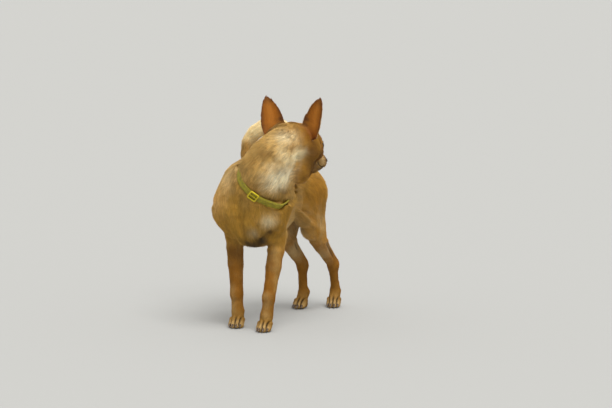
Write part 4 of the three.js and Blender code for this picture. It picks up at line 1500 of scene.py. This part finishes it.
def coat_roots(mesh, links, shares, creases, ring):
    """Where tufts grow, with all that a tuft needs to know."""
    places, normals = points_of(mesh), normals_of(mesh)
    ways = coat_ways(places, normals, links)
    colours = coat_colours(places, normals, shares, links, creases)
    flat = unwrapped(mesh, places)
    facts = {key: blend_of(shares, {part: COAT[part][i] for part in PARTS})
             for i, key in enumerate(("length", "depth", "width", "density"))}
    room = room_above(mesh, places, normals)
    facts["length"] *= np.clip(room / FOLD_ROOM, 0.25, 1)
    facts["density"] *= steps(0.5 * MM, 3 * MM, room)
    hollow, edge = ear_facts(places, normals, shares)[1::2]
    fringe = steps(0.6, 0.95, edge)
    facts["density"] *= 1 - 0.7 * hollow * (1 - fringe)
    facts["length"] *= 1 + 0.4 * hollow * fringe

    mesh.calc_loop_triangles()
    triangles = np.zeros(len(mesh.loop_triangles) * 3, np.int64)
    mesh.loop_triangles.foreach_get("vertices", triangles)
    triangles = triangles.reshape(-1, 3)
    a, b, c = (places[triangles[:, i]] for i in range(3))
    area = np.linalg.norm(np.cross(b - a, c - a), axis=1) / 2 / MM**2
    bare = bare_skin(places, ring, creases)
    wanted = area * (facts["density"] * (1 - bare))[triangles].mean(1)
    random = np.random.default_rng(7)
    counts = np.floor(wanted + random.random(len(wanted))).astype(int)
    owner = np.repeat(np.arange(len(triangles)), counts)
    share = random.random((len(owner), 2))
    share = np.where(share.sum(1, keepdims=True) > 1, 1 - share, share)
    mix = np.column_stack([1 - share.sum(1), share])
    corner = triangles[owner]

    def spread(values):
        return (values[corner] * mix[..., None]).sum(1) if values.ndim > 1 else (values[corner] * mix).sum(1)

    place, normal = spread(places), unit(spread(normals))
    clump = drift(place, 7 * MM, 5)
    stray = random.normal(0, 1, (len(place), 3))
    way = unit(spread(ways)) + stray * 0.12 + np.cross(normal, unit(spread(ways))) * (0.28 * clump)[:, None]
    way = unit(way - normal * (way * normal).sum(1, keepdims=True))
    length = spread(facts["length"]) * MM * np.exp(random.normal(0, 0.16, len(place)))
    locks = streaks(place, way, 3.2 * MM, 6)
    long_coat = steps(4, 12, spread(facts["length"]))
    waves = 0.12 * clump + 0.4 * np.clip(locks, -0.8, 1)
    rise = spread(facts["depth"]) * MM * (1 + waves * (0.25 + 0.75 * long_coat))
    lift = np.arcsin(np.clip(rise / length, 0.03, 0.5)) + np.abs(random.normal(0, 0.04, len(place)))
    tone = 1 + 0.10 * random.normal(0, 1, len(place)) + (0.12 + 0.19 * long_coat) * locks
    warm = 0.04 * random.normal(0, 1, len(place))[:, None] * np.array([1.0, 0.0, -1.5])
    colour = spread(colours) * np.clip(tone, 0.5, 1.5)[:, None] * (1 + warm)
    # The hair at the tail's tip stands out along it, so that the tail ends in a point.
    at_tip = 1 - steps(9 * MM, 24 * MM, np.linalg.norm(place - np.array(tail_line(9)[-1]), axis=1))
    lift += 0.6 * at_tip
    length = length * (1 + 0.4 * at_tip)
    # Deep in a fold the hair may lie over the collar, as it does on a turned neck.
    keep = np.where(spread(room) < FOLD_ROOM, length, keeps_clear(place, length, ring))
    roots = {
        "place": place,
        "normal": normal,
        "way": way,
        "length": np.minimum(length, keep),
        "width": spread(facts["width"]) * MM * (0.8 + 0.4 * random.random(len(place))),
        "lift": lift,
        "sink": 0.25 * spread(facts["depth"]) * MM,
        "colour": np.clip(colour, 0, 1),
        "uv": flat[corner[np.arange(len(corner)), mix.argmax(1)]],
        "part": shares[corner[:, 0]].argmax(1),
    }
    stray_hairs = whiskers(mesh, normals, flat)
    roots = {key: np.concatenate([values, stray_hairs[key]]) for key, values in roots.items()}
    return roots, colours


def room_above(mesh, places, normals):
    """How far it is from each place, straight out, to other skin: at most OPEN_ROOM."""
    tree = search_tree(mesh)
    room = np.full(len(places), OPEN_ROOM)
    for i, (start, way) in enumerate(zip((places + normals * 0.5 * MM).tolist(), normals.tolist())):
        hit = tree.ray_cast(start, way, OPEN_ROOM)
        if hit[3] is not None:
            room[i] = hit[3]
    return room


def whiskers(mesh, normals, flat):
    """Long stiff hairs in rows on the lips, and a few over each eye and on each cheek."""
    random = np.random.default_rng(11)
    spots = []
    for turn in SIDES.values():
        for row in range(4):
            start, up = 98 - 2 * row, -14 - 3.5 * row
            spots += [(on_head(start - 6.5 * i, 12 * turn, up), 20, 0.75) for i in range(5)]
        spots += [(on_head(50 + 3 * i, 20 * turn, 22), 13, 0.9) for i in range(3)]
        spots += [(on_head(40 + 4 * i, 32 * turn, -26), 15, 0.7) for i in range(2)]
    spots += [(on_head(92 - 6 * i, 0, -40), 12, 0.8) for i in range(3)]
    tree = search_tree(mesh)
    hits = [tree.find_nearest(spot) for spot, _, _ in spots]
    corner = np.array([mesh.polygons[hit[2]].vertices[0] for hit in hits])
    normal = normals[corner]
    back = np.array(-HEAD_FORWARD * 0.9 - HEAD_UP * 0.3) + random.normal(0, 0.15, (len(spots), 3))
    colour = np.where(random.random((len(spots), 1)) < 0.75, linear("#241810"), linear("#c9b48c"))
    count = len(spots)
    return {
        "place": np.array([list(hit[0]) for hit in hits]),
        "normal": normal,
        "way": unit(back - normal * (back * normal).sum(1, keepdims=True)),
        "length": np.array([length for _, length, _ in spots]) * MM * random.uniform(0.75, 1.2, count),
        "width": np.full(count, WHISKER_WIDTH),
        "lift": np.array([lift for _, _, lift in spots]) + random.normal(0, 0.1, count),
        "sink": np.full(count, 0.4 * MM),
        "colour": colour,
        "uv": flat[corner],
        "part": np.full(count, PARTS.index("head")),
    }


def bare_skin(places, ring, creases):
    """1 where no fur grows: the eyes' openings, the nose, the soles and under the strap."""
    bare = np.zeros(len(places))
    for eye in EYES.values():
        near = np.linalg.norm(places - eye.middle, axis=1) < 1.6 * EYE_RADIUS
        bare = np.maximum(bare, near * (1 - steps(0.6, 1.6, eye.opening(places))))
    bare = np.maximum(bare, 1 - steps(1.0, 1.08, nose_reach(places)))
    bare = np.maximum(bare, steps(0.5, 0.8, creases["lips"]))
    bare = np.maximum(bare, 0.8 * steps(0.6, 0.9, creases["clefts"]))
    bare = np.maximum(bare, 1 - steps(1.2 * MM, 2.4 * MM, places[:, 2]))
    turn, along, reach = ring.coordinates(places)
    under = (np.abs(along) < ring.half + 0.8 * MM) & (reach < ring.surface(turn, along) + 4 * MM)
    return np.where(under & (reach > 20 * MM), 1, bare)


def keeps_clear(place, length, ring):
    """The longest that a tuft may be, so that it doesn't cover the collar."""
    turn, along, reach = ring.coordinates(place)
    near = np.abs(reach - ring.surface(turn, along)) < 16 * MM
    gap = np.abs(along) - ring.half
    return np.where(near & (along > 0), np.maximum(gap, 0) * 1.2 + 3 * MM, length * 2)


def make_coat(roots, material):
    """The tufts in pieces of under 200,000 triangles, each of one part of the body."""
    groups = {
        "coat_head": ("head", "ear"),
        "coat_neck": ("neck",),
        "coat_tail": ("tail",),
        "coat_trunk": ("trunk",),
        "coat_forelegs": ("upper_arm", "foreleg", "forepaw"),
        "coat_hind_legs": ("thigh", "hind_leg", "hind_paw"),
    }
    for name, parts in groups.items():
        chosen = np.flatnonzero(np.isin(roots["part"], [PARTS.index(part) for part in parts]))
        bent = parts[0] in BENT_PARTS
        most = MOST_TRIANGLES // len(BENT if bent else SPIKE)
        chosen = chosen[np.argsort(roots["place"][chosen, 0], kind="stable")]
        blocks = np.array_split(chosen, math.ceil(len(chosen) / most))
        for number, block in enumerate(blocks):
            own = {key: value[block] for key, value in roots.items()}
            own["bent"] = bent
            tufts(f"{name}_{number + 1}", own, material)


def make_stage():
    """A plain floor, one broad soft light from above and to one side, and a pale sky."""
    shape = bmesh.new()
    bmesh.ops.create_grid(shape, x_segments=1, y_segments=1, size=40)
    mesh = mesh_from("floor", shape)
    mesh.materials.append(studio_floor())
    placed("floor", mesh)

    lamp = bpy.data.lights.new("soft_key", "SUN")
    lamp.energy = 3.0
    lamp.angle = math.radians(40)
    shines = Vector((-0.6, 0.45, -1.4))
    placed("soft_key", lamp).rotation_euler = shines.to_track_quat("-Z", "Y").to_euler()

    world = bpy.data.worlds.new("pale_sky")
    world.use_nodes = True
    sky = world.node_tree.nodes["Background"].inputs
    sky["Color"].default_value = (1.0, 0.99, 0.97, 1)
    sky["Strength"].default_value = 0.82
    bpy.context.scene.world = world
    bpy.context.scene.view_settings.view_transform = "Standard"


def make_camera():
    """A long lens, a little above the dog's back, to the left of its front."""
    azimuth, elevation, distance = math.radians(28), math.radians(8.5), 8.7
    right = Vector((math.cos(azimuth), math.sin(azimuth), 0))
    target = (cad_low + cad_high) / 2 + right * 0.0367
    back = Vector((
        math.sin(azimuth) * math.cos(elevation),
        -math.cos(azimuth) * math.cos(elevation),
        math.sin(elevation),
    ))
    lens = bpy.data.cameras.new("camera")
    lens.lens = 241.4
    lens.sensor_width = 36
    lens.clip_end = 100
    camera = placed("camera", lens)
    camera.location = target + back * distance
    camera.rotation_euler = (-back).to_track_quat("-Z", "Y").to_euler()
    bpy.context.scene.camera = camera


make_camera()
make_stage()
fur, skin_surface = dog_fur(), dog_skin()
collar_ring = Ring()
skin_mesh, *skin_facts = make_skin()
coat, skin_colours = coat_roots(skin_mesh, *skin_facts, collar_ring)
paint(skin_mesh, "coat", skin_colours * SKIN_SHADE)
skin_mesh.shade_smooth()
skin = shown("skin", skin_mesh, skin_surface)
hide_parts(*FLESH)
make_coat(coat, fur)
eye_surface, nose_surface, horn = wet_eye(), nose_leather(), claw_horn()
for eye_side in SIDES:
    make_eye(eye_side, eye_surface)
    make_lid_rim(eye_side, nose_surface)
make_nose(nose_surface)
make_claws(horn)
make_collar(collar_ring)
